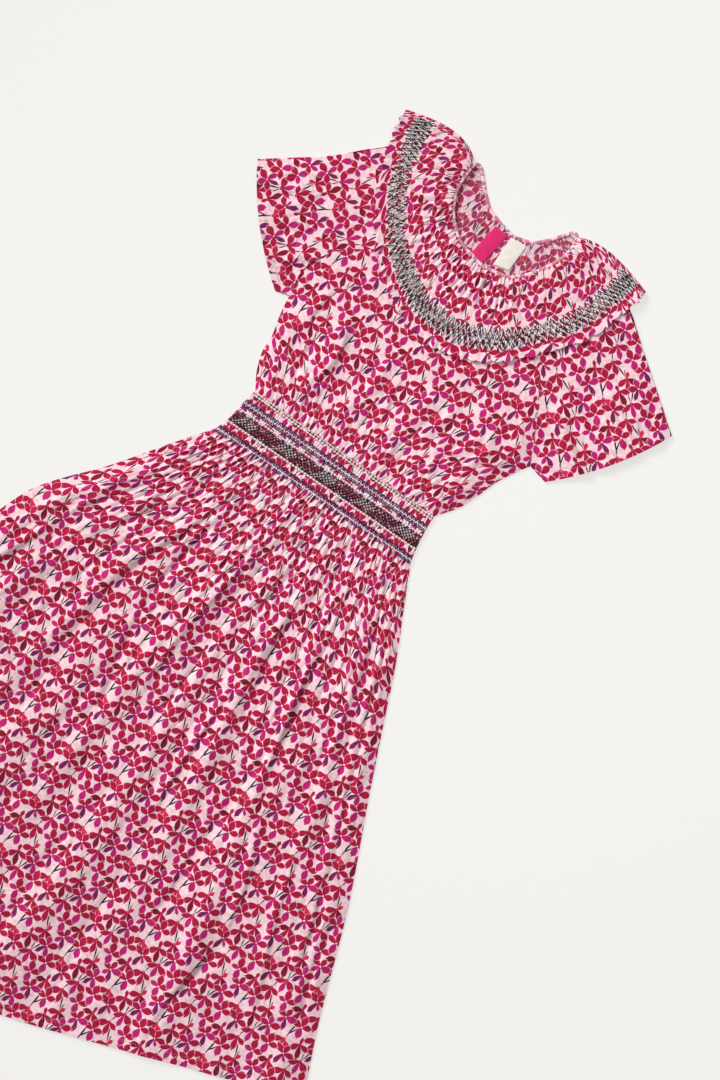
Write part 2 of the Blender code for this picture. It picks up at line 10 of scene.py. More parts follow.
import bpy
import numpy as np
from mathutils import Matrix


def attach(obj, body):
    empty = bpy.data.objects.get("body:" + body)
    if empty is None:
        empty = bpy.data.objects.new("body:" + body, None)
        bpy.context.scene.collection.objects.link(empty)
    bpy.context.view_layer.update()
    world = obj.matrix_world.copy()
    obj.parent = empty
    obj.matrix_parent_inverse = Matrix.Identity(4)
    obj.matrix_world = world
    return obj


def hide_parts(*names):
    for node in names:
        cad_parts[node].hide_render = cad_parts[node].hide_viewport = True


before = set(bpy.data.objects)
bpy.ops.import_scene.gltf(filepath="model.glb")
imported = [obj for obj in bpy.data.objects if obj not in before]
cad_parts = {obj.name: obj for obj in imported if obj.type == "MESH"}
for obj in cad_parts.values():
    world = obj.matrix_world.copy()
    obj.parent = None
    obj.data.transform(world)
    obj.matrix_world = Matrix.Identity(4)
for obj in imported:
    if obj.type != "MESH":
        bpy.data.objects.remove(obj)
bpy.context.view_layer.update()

MM = 0.001  # a millimetre in metres
CENTRE = np.array([-46.5, -198.556])

# Cloth and gaps, in millimetres
WALL = 1.2  # cloth of the solids
GAP = 0.3  # between solids
SHOWN = 0.6  # cloth as it is shown
UNDER_SHOWN = 0.5  # cloth of the back of the band and of the collar
SEAM_PUFF = 2.0  # rise beside a seam
SEAM_EASE = 24.0  # distance over which a panel falls to its side seam
PRESSED_SIDE = 6.0  # pressed flat this far from a side seam
BACK_INSET = 1.5  # the back panels are this much narrower
NECK_SHOWN = 5.0  # the gathered cloth starts under the bound edge
PANEL_TOP = 2 * WALL + GAP  # outside of a front panel that lies flat
TRIM_BOTTOM = 2 * (WALL + GAP)
TRIM_THICKNESS = 1.0

# The back lies on the turned-under collar inside a circle, and steps down to the floor round it
COLLAR_MIDDLE = np.array([6.5, 416.0])
COLLAR_REACH = 228.0
STEP_WIDTH = 26.0
COLLAR_UNDER = 2 * (WALL + GAP) + SEAM_PUFF + WALL + GAP
COLLAR_FOLD = (COLLAR_UNDER + WALL) / 2  # radius of the collar's turned shoulder ends
FOLD_ANGLES = np.radians(np.linspace(90, -90, 9))

# Skirt outline: position down the seam, left x, left y, right x, right y
SKIRT_SIDES = [
    (0.00, -154, -33, 152, -32),
    (0.08, -188, -78, 175, -80),
    (0.20, -240, -150, 211, -153),
    (0.33, -307, -234, 248, -240),
    (0.42, -333, -296, 278, -310),
    (0.60, -392, -410, 338, -446),
    (0.80, -459, -530, 392, -592),
    (1.00, -526, -650, 433, -689),
]
# position along the hem, x, y
SKIRT_HEM = [
    (0.00, -526, -650),
    (0.20, -364, -780),
    (0.43, -130, -856),
    (0.61, 45, -820),
    (0.80, 239, -755),
    (1.00, 433, -689),
]
# place across at the waist and at the hem, start and end down the skirt, half width, height
SKIRT_FOLDS = [
    (0.07, 0.05, -0.10, 0.70, 20, 5.0),
    (0.17, 0.13, 0.10, 1.30, 26, 7.0),
    (0.28, 0.27, -0.10, 0.60, 16, 5.0),
    (0.38, 0.35, 0.25, 1.40, 30, 8.0),
    (0.47, 0.45, -0.10, 0.75, 18, 6.0),
    (0.57, 0.57, 0.30, 1.30, 28, 7.0),
    (0.66, 0.68, -0.10, 0.80, 18, 6.0),
    (0.77, 0.79, 0.20, 1.40, 26, 7.5),
    (0.88, 0.91, -0.10, 0.90, 18, 5.0),
    (0.94, 0.96, 0.55, 1.40, 16, 5.0),
]
FOLD_SHARE = 0.75  # of those heights, beside the finer gathers
SKIRT_HEM_WIDTH = 13.0
SKIRT_TAKEN_UP = 0.55  # share of more cloth that the waist gathers hide

# Creases: x, y where they start, x, y where they end, half width, height (a trough is negative)
CREASE_DEPTH = 1.8
SKIRT_CREASES = [
    (-60, -60, -72, -170, 3.0, -1.6),
    (-110, -60, -135, -150, 3.0, -1.5),
    (-149, -112, -181, -221, 4.0, -2.4),
    (-91, -138, -102, -290, 4.5, -2.6),
    (-98, -270, -70, -462, 4.0, -2.3),
    (-205, -120, -330, -420, 4.5, 2.0),
    (-250, -330, -400, -640, 6.0, 2.2),
    (-300, -300, -420, -560, 4.0, -1.8),
    (-210, -480, -300, -760, 5.0, -2.0),
    (-153, -400, -162, -490, 3.5, -1.9),
    (-110, -520, -150, -760, 5.0, 2.0),
    (-30, -150, -45, -380, 4.5, 2.0),
    (0, -50, 0, -130, 3.0, -1.5),
    (0, -230, -8, -420, 3.5, -1.8),
    (-10, -480, -20, -760, 5.0, -1.9),
    (37, -80, 24, -209, 3.5, -2.2),
    (45, -230, 62, -500, 4.0, 1.8),
    (70, -560, 85, -780, 4.5, -1.9),
    (75, -50, 88, -150, 3.0, -1.6),
    (60, -150, 82, -300, 3.5, -1.7),
    (95, -90, 150, -380, 4.0, 1.8),
    (106, -242, 128, -335, 3.5, -2.1),
    (137, -325, 143, -470, 4.0, -2.3),
    (137, -452, 136, -613, 5.0, -2.5),
    (118, -60, 140, -160, 3.0, -1.5),
    (160, -160, 228, -400, 4.0, -1.7),
    (180, -400, 235, -600, 5.0, 2.0),
    (225, -560, 220, -756, 5.0, -2.2),
    (230, -380, 330, -700, 5.0, 1.9),
    (285, -420, 340, -560, 4.0, -1.7),
    (325, -444, 380, -631, 4.5, -2.5),
]
BODICE_CREASES = [
    (-25, 205, -24, 105, 6, -2.2),
    (44, 212, 38, 165, 5, -2.0),
    (-88, 190, -76, 70, 6, 2.0),
    (-118, 150, -104, 60, 4, -1.6),
    (10, 175, 12, 60, 5, 1.8),
    (85, 200, 74, 80, 6, 2.0),
    (126, 160, 108, 62, 5, -1.8),
    (150, 190, 140, 100, 7, 2.2),
    (-140, 215, -128, 130, 6, 2.0),
]
LEFT_SLEEVE_CREASES = [
    (-249, 214, -134, 267, 6, -2.2),
    (-268, 268, -170, 318, 7, 2.2),
    (-215, 190, -150, 236, 6, 2.0),
    (-290, 262, -235, 300, 5, -1.6),
]
RIGHT_SLEEVE_CREASES = [
    (285, 230, 190, 268, 6, -2.2),
    (312, 262, 210, 318, 7, 2.2),
    (255, 196, 186, 232, 5, 2.0),
    (325, 285, 268, 322, 5, -1.6),
]
# Folds of the bodice: place across, half width, height
BODICE_FOLDS = [
    (0.22, 16, 3.0),
    (0.41, 13, 4.0),
    (0.60, 15, 3.5),
    (0.80, 16, 3.0),
]

# Layers of gathers: height, ridges across, reach down the cloth, seed
SKIRT_SHORT_GATHERS = (2.0, 72, 0.2, 3)
SKIRT_GATHERS = (2.8, 37, 0.6, 5)
SKIRT_LONG_GATHERS = (3.4, 23, 1.5, 8)
SKIRT_BACK_GATHERS = (0.5, 44, 0.3, 21)
WAIST_GATHERS = (1.6, 62, 0.13, 31)
BODICE_GATHERS = (2.0, 27, 0.4, 33)
UNDER_COLLAR_GATHERS = (1.8, 34, 0.26, 35)
BACK_NECK_GATHERS = (1.3, 30, 0.7, 61)
CUFF_GATHERS = (1.8, 11, 0.55, 41)
YOKE_GATHERS = (1.0, 47, 0.9, 51)
NECK_GATHERS = (1.0, 96, 0.35, 53)
SMOCKED_GATHERS = (1.0, 80, 0.25, 55)
RUFFLE_GATHERS = (2.4, 47, 4.0, 57)

# Crumple of lying cloth: length of a wave, height, seed
SKIRT_CRUMPLE = (46, 1.6, 11)
BODICE_CRUMPLE = (38, 1.2, 13)
SLEEVE_CRUMPLE = (34, 1.0, 17)

# Waist band outline: position up the band, left x, left y, right x, right y
BAND_SIDES = [
    (0.0, -154, -33, 152, -32),
    (0.3, -148, -13, 148, -13),
    (0.7, -144, 15, 145, 13),
    (1.0, -140, 34, 144, 31),
]
BAND_HEIGHT = 66.0
BAND_WIDTH = 290.0
BAND_PLEATS = 75
BAND_THREAD_LIFT = 1.0
BELOW_BAND_LIFT = 1.3  # over the first gathers of the skirt
PLEAT_POWER = 0.7  # round pleats with sharp valleys
PINCH_DEPTH = 0.3  # share by which the stitches pinch the pleats
BAND_PINCHES = 7.0  # pinched rows up the band
THREAD_WIDTHS = {"white": 2.9, "cross": 1.3, "purple": 1.7, "navy": 1.7, "black": 1.6,
                 "grey": 1.25}
BACK_THREAD = 0.7
BACK_THREAD_HEIGHT = 0.5

# Bodice outline: position up the side seam, left x, left y, right x, right y, to the underarm
BODICE_SIDES = [
    (0.0, -140, 34, 144, 31),
    (0.2, -153, 56, 165, 60),
    (0.4, -162, 82, 176, 86),
    (0.6, -163, 105, 185, 112),
    (0.8, -170, 135, 197, 135),
    (1.0, -174, 161, 210, 156),
]
UNDERARM_AT = 0.42  # place of the underarm on the way up to the neck
NECK_ROUNDNESS = 2.7
FRONT_NECK_DROP = 42.0
# the back's neck edge, hidden under the binding: x, y
BACK_NECK = [
    (-60, 436), (-48, 424), (-36, 412), (-19, 400), (16, 390.5), (43, 394.5), (60, 407.5),
    (73, 423),
]
# position from the neck to the underarm, front seam x and y, back seam x and y
LEFT_RAGLAN = [
    (0.00, -63, 370, -40, 411),
    (0.18, -86, 325, -72, 345),
    (0.38, -112, 278, -112, 278),
    (0.58, -153, 247, -153, 247),
    (0.80, -177, 202, -177, 202),
    (1.00, -174, 161, -174, 161),
]
RIGHT_RAGLAN = [
    (0.00, 81, 373, 67, 405),
    (0.25, 105, 330, 98, 345),
    (0.50, 136, 286, 136, 286),
    (0.72, 160, 248, 160, 248),
    (0.88, 183, 211, 183, 211),
    (1.00, 210, 156, 210, 156),
]

# Sleeves: position from the neck to the cuff (the underarm is at 1), shoulder fold x and y
LEFT_SHOULDER = [
    (0.00, -80, 435),
    (0.18, -122, 422),
    (0.38, -165, 403),
    (0.58, -192, 381),
    (0.80, -231, 343),
    (1.00, -270, 313),
    (1.25, -308, 285),
]
RIGHT_SHOULDER = [
    (0.00, 102, 425),
    (0.25, 128, 419),
    (0.50, 166, 409),
    (0.72, 203, 396),
    (0.88, 245, 364),
    (1.00, 288, 332),
    (1.25, 339, 293),
]
CUFF_AT = 1.25
CUFF_BOW = 9.0
CUFF_HEM = 11.0
NECK_BOW = 7.0
# seam table, fold table, corner of the cuff, bow of the back layer at the neck, creases, grain
SLEEVES = {
    "left": (LEFT_RAGLAN, LEFT_SHOULDER, (-192, 156), 10.0, LEFT_SLEEVE_CREASES, -88),
    "right": (RIGHT_RAGLAN, RIGHT_SHOULDER, (237, 150), 18.0, RIGHT_SLEEVE_CREASES, 84),
}

# Collar, round the front from the left shoulder fold: neck x and y, edge x and y
COLLAR_FRONT = [
    (0, -70, 440, -185, 447),
    (1, -70, 428, -184, 427),
    (2, -70, 408, -177, 398),
    (3, -67, 394, -160, 345),
    (4, -57, 374, -125, 288),
    (5, -42, 357, -88, 252),
    (6, -27, 347, -55, 230),
    (7, -9, 342, -17, 215),
    (8, 11, 338, 28, 213),
    (9, 30, 341, 72, 227),
    (10, 46, 345, 113, 257),
    (11, 60, 357, 150, 298),
    (12, 75, 377, 181, 340),
    (13, 86, 398, 196, 388),
    (14, 90, 415, 203, 412),
    (15, 87, 434, 205, 428),
]
COLLAR_BACK = [
    (0, -70, 438, -182, 434),
    (1, -60, 436, -180, 420),
    (2, -48, 424, -174, 397),
    (3, -40, 414, -157, 346),
    (4, -30, 404, -122, 290),
    (5, -21, 397, -86, 255),
    (6, -8, 392.5, -54, 233),
    (7, 4, 390, -17, 218),
    (8, 16, 389, 28, 216),
    (9, 29, 390, 71, 230),
    (10, 41, 392, 111, 260),
    (11, 52, 397, 148, 300),
    (12, 62, 406, 178, 341),
    (13, 72, 420, 193, 385),
    (14, 82, 432, 200, 402),
    (15, 92, 433, 202, 415.5),
]
COLLAR_ROWS = 15
BACK_LAP = 12.0  # how far the turned shoulder ends lie underneath
SHOULDER_BOW = (16.0, 12.5)  # bulge of the front at the left and right shoulder
NO_BOW = (0.0, 0.0)
BOW_POWER = 0.7
BOW_ROWS = 2.5
COLLAR_PLEATS = 184
SMOCKED_FROM, SMOCKED_TO = 0.59, 0.89  # the smocked part, outward from the neck
PINCH_STEP = 0.058
RUFFLE_WAVES = 22
RUFFLE_SQUEEZES = 24  # places where the print is drawn together
COLLAR_CLOTH = (245, 95, 118)  # half length at the neck, more at the edge, depth
COLLAR_BACK_CLOTH = (48.0, 125)  # length for a row, depth
# rows of zigzags round the collar: colour, middle of the row, its place in the pattern
COLLAR_ZIGZAGS = [
    ("white", 0.664, 0.0), ("white", 0.716, 0.5), ("white", 0.766, 0.0), ("white", 0.814, 0.5),
    ("black", 0.668, 0.25), ("black", 0.705, 0.6), ("black", 0.740, 0.75), ("black", 0.775, 0.1),
    ("black", 0.810, 0.25),
]
ZIGZAGS = 74
ZIGZAG_SWING = 0.072
UNEVEN = (0.1, 0.013)  # uneven steps of the stitches, along and outward
# width and height of the threads
COLLAR_THREAD = {"white": (1.6, 1.35), "black": (1.05, 1.9)}

# Middle line of the neck binding, from the left shoulder along the front and back again
NECK_LINE = [
    (-73, 425, 6.0), (-73, 408, 6.3), (-70, 392, 6.3), (-60, 372, 6.3), (-44, 354.5, 6.3),
    (-28, 344, 6.3), (-9, 339, 6.3), (11, 335, 6.3), (31, 338, 6.3), (48, 342.5, 6.3),
    (63, 355, 6.3), (78, 375.5, 6.3), (89, 397, 6.3), (93.5, 411, 6.3), (94, 424, 6.0),
    (92, 434, 4.8), (87, 438, 3.6), (81, 434, 2.4), (73, 424, 1.7), (60, 408, 1.6),
    (43, 395, 1.6), (16, 391, 1.6), (-19, 400.5, 1.6), (-36, 413, 1.6), (-48, 425, 1.7),
    (-60, 437.5, 2.4), (-67, 440.5, 3.6), (-72, 436, 5.0),
]
BINDING_WIDTH = 5.0
BINDING_HEIGHT = 2.8
BINDING_STEP = 0.125  # of the way between two points of the line
BINDING_SIDES = 14
BINDING_PUCKER = 0.07
BINDING_CLOTH = (21, 2.2)  # cloth for each point of the line and each radian

# Facing and label: corners from the low left one round, rise of the middle
FACING_CORNERS = [(-16, 300), (4.5, 300), (16.5, 386), (-4, 388)]
FACING_DOME = 0.5
LABEL_CORNERS = [(21.5, 345), (43, 350), (44.5, 389), (21, 387)]
LABEL_DOME = 0.3
LABEL_STITCHES = (1.6, 3.0)  # distance from the edge, length of a stitch
LABEL_THREAD = 0.5
HEM_THREAD = 0.45

# Stitches: thickness, lift and size of the ends, as shares of the width
STITCH_HEIGHT = 0.42
STITCH_LIFT = 0.3
STITCH_END = 0.45
QUARTER_TURN = 1570.0  # of the strands round a stitch

# Colours, as they look on a screen
GROUND = (250, 209, 217)
CRIMSON = (172, 8, 62)
MAGENTA = (184, 24, 108)
PURPLE = (122, 18, 84)
DARK_RED = (128, 4, 42)
BRIGHT = (206, 30, 74)
NAVY = (16, 20, 38)
# colour of the wrong side: a dull ground darkened with painted shade of the cloth's inside
REVERSE_DULL_SHADE = (128, 104, 120)
REVERSE_FADE_AND_SHADE = 0.2  # how much of the print the wrong side loses in that colour: duller print, and painted shade
BIAS_FADE = 0.35
PALE_CENTRE = (255, 226, 222)
WARM_CENTRE = (238, 150, 96)
THREAD_WHITE = (255, 253, 250)
THREAD_BLACK = (18, 17, 24)
THREAD_NAVY = (40, 42, 88)
THREAD_PURPLE = (98, 36, 100)
THREAD_PINK = (236, 176, 192)
THREAD_PALE = (214, 214, 226)
HOT_PINK = (228, 34, 112)
CREAM = (248, 239, 228)

# The print, in millimetres of cloth: petals are direction, length, half angle and colour
REPEAT = (74.0, 78.0)
WANDER_NOISE, SHADE_NOISE, STREAK_NOISE = 70.0, 28.0, 190.0
WANDER = 2.4  # how far the lattice wanders
EDGE_BLUR = 0.7
DOT_BLUR = 0.9
HALO = 0.8  # ground left clear round a petal, in edge blurs
WASH = (0.82, 1.12)  # darkest and lightest of the watery streaks
GROUND_SHADE = 0.955
# share of a petal's half angle, share of its length; between petals only the base is covered
PETAL_SHAPE = ((-0.92, 0.58), (-0.55, 0.87), (-0.2, 1.0), (-0.03, 1.16), (0.14, 1.02), (0.52, 0.89),
               (0.9, 0.6))
PETAL_GAP = 1.12
PETAL_BASE = 2.3
# stems: x, y, petals
STEMS = [
    (20, 33, [(78, 22, 5.2, NAVY)]),
    (33, 7, [(112, 20, 5.2, NAVY), (92, 12, 6.1, NAVY)]),
    (71, 66, [(84, 23, 5.2, NAVY)]),
    (31, 52, [(70, 20, 5.2, NAVY), (96, 12, 6.1, NAVY)]),
    (8, 12, [(-124, 19, 5.2, NAVY)]),
]
# sprays of leaves: x, y, petals
SPRAY_DOT = 1.0
SPRAYS = [
    (33, 7, [(-152, 14.0, 32, CRIMSON), (-96, 18.4, 22, CRIMSON), (-38, 15.1, 30, DARK_RED),
             (62, 8.6, 34, BRIGHT)]),
    (20, 33, [(-144, 15.1, 33, CRIMSON), (-82, 17.3, 23, CRIMSON), (-22, 11.9, 32, CRIMSON)]),
    (70, 31, [(-160, 13.0, 33, DARK_RED), (-104, 17.3, 23, CRIMSON), (-46, 15.1, 32, CRIMSON),
              (88, 8.6, 30, CRIMSON)]),
    (31, 52, [(-148, 14.0, 31, CRIMSON), (-90, 17.3, 21, MAGENTA), (-32, 15.1, 32, CRIMSON)]),
    (19, 71, [(-132, 14.0, 31, CRIMSON), (-76, 18.4, 22, DARK_RED), (-16, 13.0, 31, CRIMSON),
              (104, 8.6, 32, CRIMSON)]),
    (71, 66, [(-154, 14.0, 32, CRIMSON), (-98, 16.2, 23, CRIMSON), (-42, 14.0, 31, BRIGHT)]),
]
# blossoms: x, y, radius of the middle dot, petals
BLOSSOMS = [
    (8, 12, 1.6, [(96, 14.0, 35, CRIMSON), (20, 11.9, 37, CRIMSON), (170, 13.0, 34, CRIMSON),
                  (-84, 14.0, 34, MAGENTA)]),
    (57, 12, 1.5, [(84, 11.9, 35, CRIMSON), (8, 14.0, 34, MAGENTA), (156, 13.0, 36, CRIMSON),
                   (-76, 16.2, 24, PURPLE), (-128, 11.9, 27, MAGENTA)]),
    (46, 29, 1.6, [(104, 14.0, 36, CRIMSON), (26, 13.0, 35, CRIMSON), (178, 10.8, 33, MAGENTA),
                   (-86, 13.0, 36, MAGENTA)]),
    (6, 50, 1.5, [(78, 11.9, 36, CRIMSON), (2, 14.0, 33, CRIMSON), (150, 14.0, 34, CRIMSON),
                  (-102, 16.2, 24, PURPLE), (-52, 10.8, 26, MAGENTA)]),
    (57, 49, 1.6, [(92, 14.0, 36, CRIMSON), (14, 11.9, 36, CRIMSON), (166, 13.0, 34, CRIMSON),
                   (-92, 14.0, 35, MAGENTA)]),
    (45, 69, 1.5, [(100, 11.9, 35, MAGENTA), (24, 14.0, 36, CRIMSON), (172, 13.0, 34, CRIMSON),
                   (-70, 14.0, 29, MAGENTA), (-122, 15.1, 23, PURPLE)]),
]

# Rows and columns of the meshes
SKIRT_MESH = (154, 301)
SKIRT_BACK_MESH = (61, 181)
WAIST_DENSITY = 1.18  # power that draws the rows of the skirt towards the waist
BAND_MESH = (45, 6)  # rows, and columns for a pleat
BODICE_MESH = (76, 62, 241)  # rows up the side seam and up the sleeve seam, columns
BODICE_BACK_MESH = (26, 34, 121)
SLEEVE_MESH = (74, 24, 101, 33)  # rows to the underarm and to the cuff, columns above and below
PATCH_MESH = (41, 21)

# Floor, light and camera, in metres
FLOOR_SIZE = 6.0
FLOOR_STEPS = 12
FLOOR_LEVEL = -0.0006
FLOOR_SHADED = (128, 127, 125)
FLOOR_GLOW = (186, 185, 182)
FLOOR_STRENGTH = 1.39
SUN_POWER = 3.3
SUN_SPREAD = math.radians(26)
SUN_HEADING = math.radians(168)
SUN_HEIGHT = math.radians(36)
LAMP_AT = (0.10, 0.42, 1.25)
LAMP_SIZE = 0.9
LAMP_POWER = 5.0
SKY_COLOUR = (1.0, 0.995, 0.985, 1)
SKY_POWER = 0.19
FRAME_HEIGHT = 1.404  # metres of floor over the height of the picture
FRAME_MIDDLE = (0.1283, 0.1507)
LENS = 60.0
SENSOR = 36.0
DRESS_TURN = math.radians(34.5)


# Shapes


def smooth(value, low, high):
    """0 below low, 1 above high, with a soft ramp between."""
    u = np.clip((value - low) / (high - low), 0, 1)
    return u * u * (3 - 2 * u)


def through(table, at):
    """A smooth curve through rows of (position, values...), read at any array of positions."""
    rows = np.array(table, float)
    at = np.asarray(at, float)
    place, values = rows[:, 0], rows[:, 1:]
    slope = np.gradient(values, place, axis=0)
    k = np.clip(np.searchsorted(place, at, side="right") - 1, 0, len(place) - 2)
    span = (place[k + 1] - place[k])[..., None]
    u = (at - place[k])[..., None] / span
    start = (2 * u**3 - 3 * u**2 + 1) * values[k] + (u**3 - 2 * u**2 + u) * span * slope[k]
    end = (3 * u**2 - 2 * u**3) * values[k + 1] + (u**3 - u**2) * span * slope[k + 1]
    return start + end


def unit(vectors):
    """Vectors scaled to length 1."""
    return vectors / np.linalg.norm(vectors, axis=-1, keepdims=True)


def trimmed(left, right, gap):
    """The two edges moved towards each other by gap."""
    step = unit(right - left) * gap
    return left + step, right - step


def between(left, right, across):
    """A grid of points from each left point to its right one."""
    across = across[None, :, None]
    return left[:, None, :] * (1 - across) + right[:, None, :] * across


def from_sides(plan, across):
    """Distance of each point of a panel from the nearer side, and the width of its row."""
    wide = np.linalg.norm(plan[:, -1] - plan[:, 0], axis=1)[:, None]
    return np.minimum(across, 1 - across)[None, :] * wide, wide


def back_level(plan):
    """Height of the underside of the back layer: on the ground, or on the back of the collar."""
    far = np.linalg.norm(plan - COLLAR_MIDDLE, axis=-1)
    return (WALL + GAP) * (1 - smooth(far, COLLAR_REACH, COLLAR_REACH + STEP_WIDTH))


def clear_of_collar(plan):
    """0 under the collar and 1 well outside it."""
    far = np.linalg.norm(plan - COLLAR_MIDDLE, axis=-1)
    return smooth(far, COLLAR_REACH, COLLAR_REACH + 2 * STEP_WIDTH)


def raised(plan, height):
    """Plan points with a height each."""
    return np.concatenate([plan, np.broadcast_to(height, plan.shape[:-1])[..., None]], axis=-1)


def gather(across, count):
    """The even ridges of the solids, from 0 to 1."""
    drift = 0.22 * np.sin(2 * math.pi * 2.6 * across + 0.7)
    return 0.5 - 0.5 * np.cos(2 * math.pi * (count * across + drift))


def gathers(across, down, height, count, reach, seed):
    """Uneven ridges with narrow valleys, each dying out at a length of its own."""
    chance = np.random.default_rng(seed)
    phase = count * across
    for waves in (1.3, 2.9, 5.7):
        phase = phase + 0.4 * chance.uniform(0.4, 1) * np.sin(
            2 * math.pi * (waves * across + 0.5 * down + chance.random()))
    ridge = np.clip(np.floor(phase).astype(int) + 2, 0, count + 4)
    size = chance.uniform(0.5, 1.0, count + 5)[ridge]
    length = reach * chance.uniform(0.45, 1.5, count + 5)[ridge]
    ridges = size * np.abs(np.sin(math.pi * phase)) ** 0.85
    return height * (ridges * (1 - smooth(down / length, 0.1, 1.0)))


def pleats(across, count):
    """Even round ridges with sharp valleys, from 0 to 1."""
    return np.abs(np.sin(math.pi * count * across)) ** PLEAT_POWER


def creases(plan, table):
    """Height of soft ridges and troughs along listed lines, steeper on one side."""
    total = np.zeros(plan.shape[:-1])
    for k, (x0, y0, x1, y1, half_width, height) in enumerate(table):
        line = np.array([x1 - x0, y1 - y0], float)
        length = np.linalg.norm(line)
        away = plan - np.array([x0, y0])
        along = away @ line / length**2
        off = (away[..., 0] * line[1] - away[..., 1] * line[0]) / length
        off = off + half_width * 0.7 * np.sin(2 * math.pi * (1.1 * along + 0.37 * k))
        side = np.where(off * (-1) ** k > 0, 1.5, 0.7)
        fade = np.sin(math.pi * np.clip(along, 0, 1)) ** 0.8
        total = total + CREASE_DEPTH * height * fade * np.exp(-(off / (half_width * side)) ** 2)
    return total


def crumple(plan, size, height, seed):
    """A few soft waves in many directions: the small unevenness of cloth that lies."""
    chance = np.random.default_rng(seed)
    total = np.zeros(plan.shape[:-1])
    for _ in range(9):
        heading = chance.uniform(-0.5, 0.5)
        wave = size * chance.uniform(0.7, 1.6)
        run = plan[..., 0] * math.cos(heading) + plan[..., 1] * math.sin(heading) * 0.5
        swing = 0.8 * np.sin(2 * math.pi * plan[..., 1] / (wave * 3.1) + chance.uniform(0, 6))
        total = total + np.sin(2 * math.pi * run / wave + swing + chance.uniform(0, 6))
    return height * total / 9


# Materials


def seen(colour):
    """A screen colour as linear light."""
    part = np.array(colour) / 255
    part = np.where(part <= 0.04045, part / 12.92, ((part + 0.055) / 1.055) ** 2.4)
    return (*part, 1)


class Shader:
    """A material's nodes, added one after another."""

    def __init__(self, name, roughness, sheen=0.0, specular=0.25):
        self.material = bpy.data.materials.new(name)
        self.material.use_nodes = True
        self.tree = self.material.node_tree
        self.surface = self.tree.nodes["Principled BSDF"]
        self.surface.inputs["Roughness"].default_value = roughness
        self.surface.inputs["Sheen Weight"].default_value = sheen
        self.surface.inputs["Sheen Roughness"].default_value = 0.5
        self.surface.inputs["Specular IOR Level"].default_value = specular
        self.coordinates = self.tree.nodes.new("ShaderNodeUVMap")
        self.coordinates.uv_map = "fabric"
        self.fabric = self.coordinates.outputs[0]

    def node(self, kind, inputs=(), **settings):
        """A node with its settings and inputs, each a value or a socket."""
        made = self.tree.nodes.new(kind)
        for key, value in settings.items():
            setattr(made, key, value)
        for key, value in dict(inputs).items():
            if isinstance(value, bpy.types.NodeSocket):
                self.tree.links.new(value, made.inputs[key])
            else:
                made.inputs[key].default_value = value
        return made

    def sum(self, operation, *values, clamp=False):
        """A sum of numbers."""
        made = self.node("ShaderNodeMath", enumerate(values), operation=operation)
        made.use_clamp = clamp
        return made.outputs[0]

    def vector(self, operation, *values):
        """A sum of vectors."""
        return self.node("ShaderNodeVectorMath", enumerate(values), operation=operation)

    def axes(self, where=None):
        """X, Y and Z of a place on the fabric."""
        return self.node("ShaderNodeSeparateXYZ", {0: where or self.fabric}).outputs

    def ribs(self, axis, pitch):
        """A wave along an axis of the fabric, from -1 to 1."""
        turns = self.sum("MULTIPLY", self.axes()[axis], 2 * math.pi / pitch)
        return self.sum("SINE", turns)

    def noise(self, scale, detail=2.0, where=None):
        """Soft noise over the fabric."""
        places = {"Vector": where or self.fabric, "Scale": scale, "Detail": detail}
        return self.node("ShaderNodeTexNoise", places)

    def mix(self, share, one, other, blend="MIX"):
        """A share of the other colour in one."""
        made = self.node("ShaderNodeMix", {0: share, 6: one, 7: other},
                         data_type="RGBA", blend_type=blend)
        return made.outputs[2]

    def level(self, value, low, high, to_low, to_high):
        """A value moved from one range to another."""
        made = self.node("ShaderNodeMapRange", {0: value, 1: low, 2: high, 3: to_low, 4: to_high})
        return made.outputs[0]

    def bump(self, height, strength, distance, before=None):
        """A normal bent by a height."""
        inputs = {"Height": height, "Strength": strength, "Distance": distance}
        if before is not None:
            inputs["Normal"] = before
        return self.node("ShaderNodeBump", inputs).outputs[0]

    def set(self, **sockets):
        """Lead sockets into the surface."""
        for key, value in sockets.items():
            self.tree.links.new(value, self.surface.inputs[key.replace("_", " ")])


def petal_curve(shader, angle, petals, longest):
    """Radius against angle: each petal is widest half way and has a pointed tip."""
    marks = []
    for direction, length, half_angle, _ in petals:
        petal = [(share, length * reach) for share, reach in PETAL_SHAPE]
        petal = [(-PETAL_GAP, PETAL_BASE), *petal, (PETAL_GAP, PETAL_BASE)]
        for share, reach in petal:
            marks.append(((direction + share * half_angle) / 360 + 0.5, reach / longest))
    marks = sorted((at + turn, reach) for at, reach in marks for turn in (-1, 0, 1))
    at, reach = np.array(marks).T
    inside = [(x, y) for x, y in marks if 0.002 < x < 0.998]
    ends = [(x, float(np.interp(x, at, reach))) for x in (0.0, 1.0)]
    made = shader.node("ShaderNodeFloatCurve", {"Value": angle})
    curve = made.mapping.curves[0]
    curve.points[0].location = ends[0]
    curve.points[1].location = ends[1]
    for x, y in inside:
        curve.points.new(x, y)
    for point in curve.points:
        point.handle_type = "VECTOR"
    made.mapping.update()
    return made.outputs[0]


def petal_colours(shader, angle, petals):
    """Colour against angle, changing half way between neighbouring petals."""
    turned = sorted(((direction + 180) % 360 / 360, colour) for direction, _, _, colour in petals)
    made = shader.node("ShaderNodeValToRGB", {"Fac": angle})
    ramp = made.color_ramp
    ramp.interpolation = "CONSTANT"
    wrap = (turned[-1][0] + turned[0][0] + 1) / 2
    stops = [((a + b) / 2, colour) for (a, _), (b, colour) in zip(turned, turned[1:])]
    stops.append((wrap % 1, turned[0][1]))
    stops = sorted(stops)
    ramp.elements[0].position = 0.0
    ramp.elements[0].color = seen(stops[-1][1])
    ramp.elements.remove(ramp.elements[1])
    for position, colour in stops:
        ramp.elements.new(position).color = seen(colour)
    return made.outputs[0]


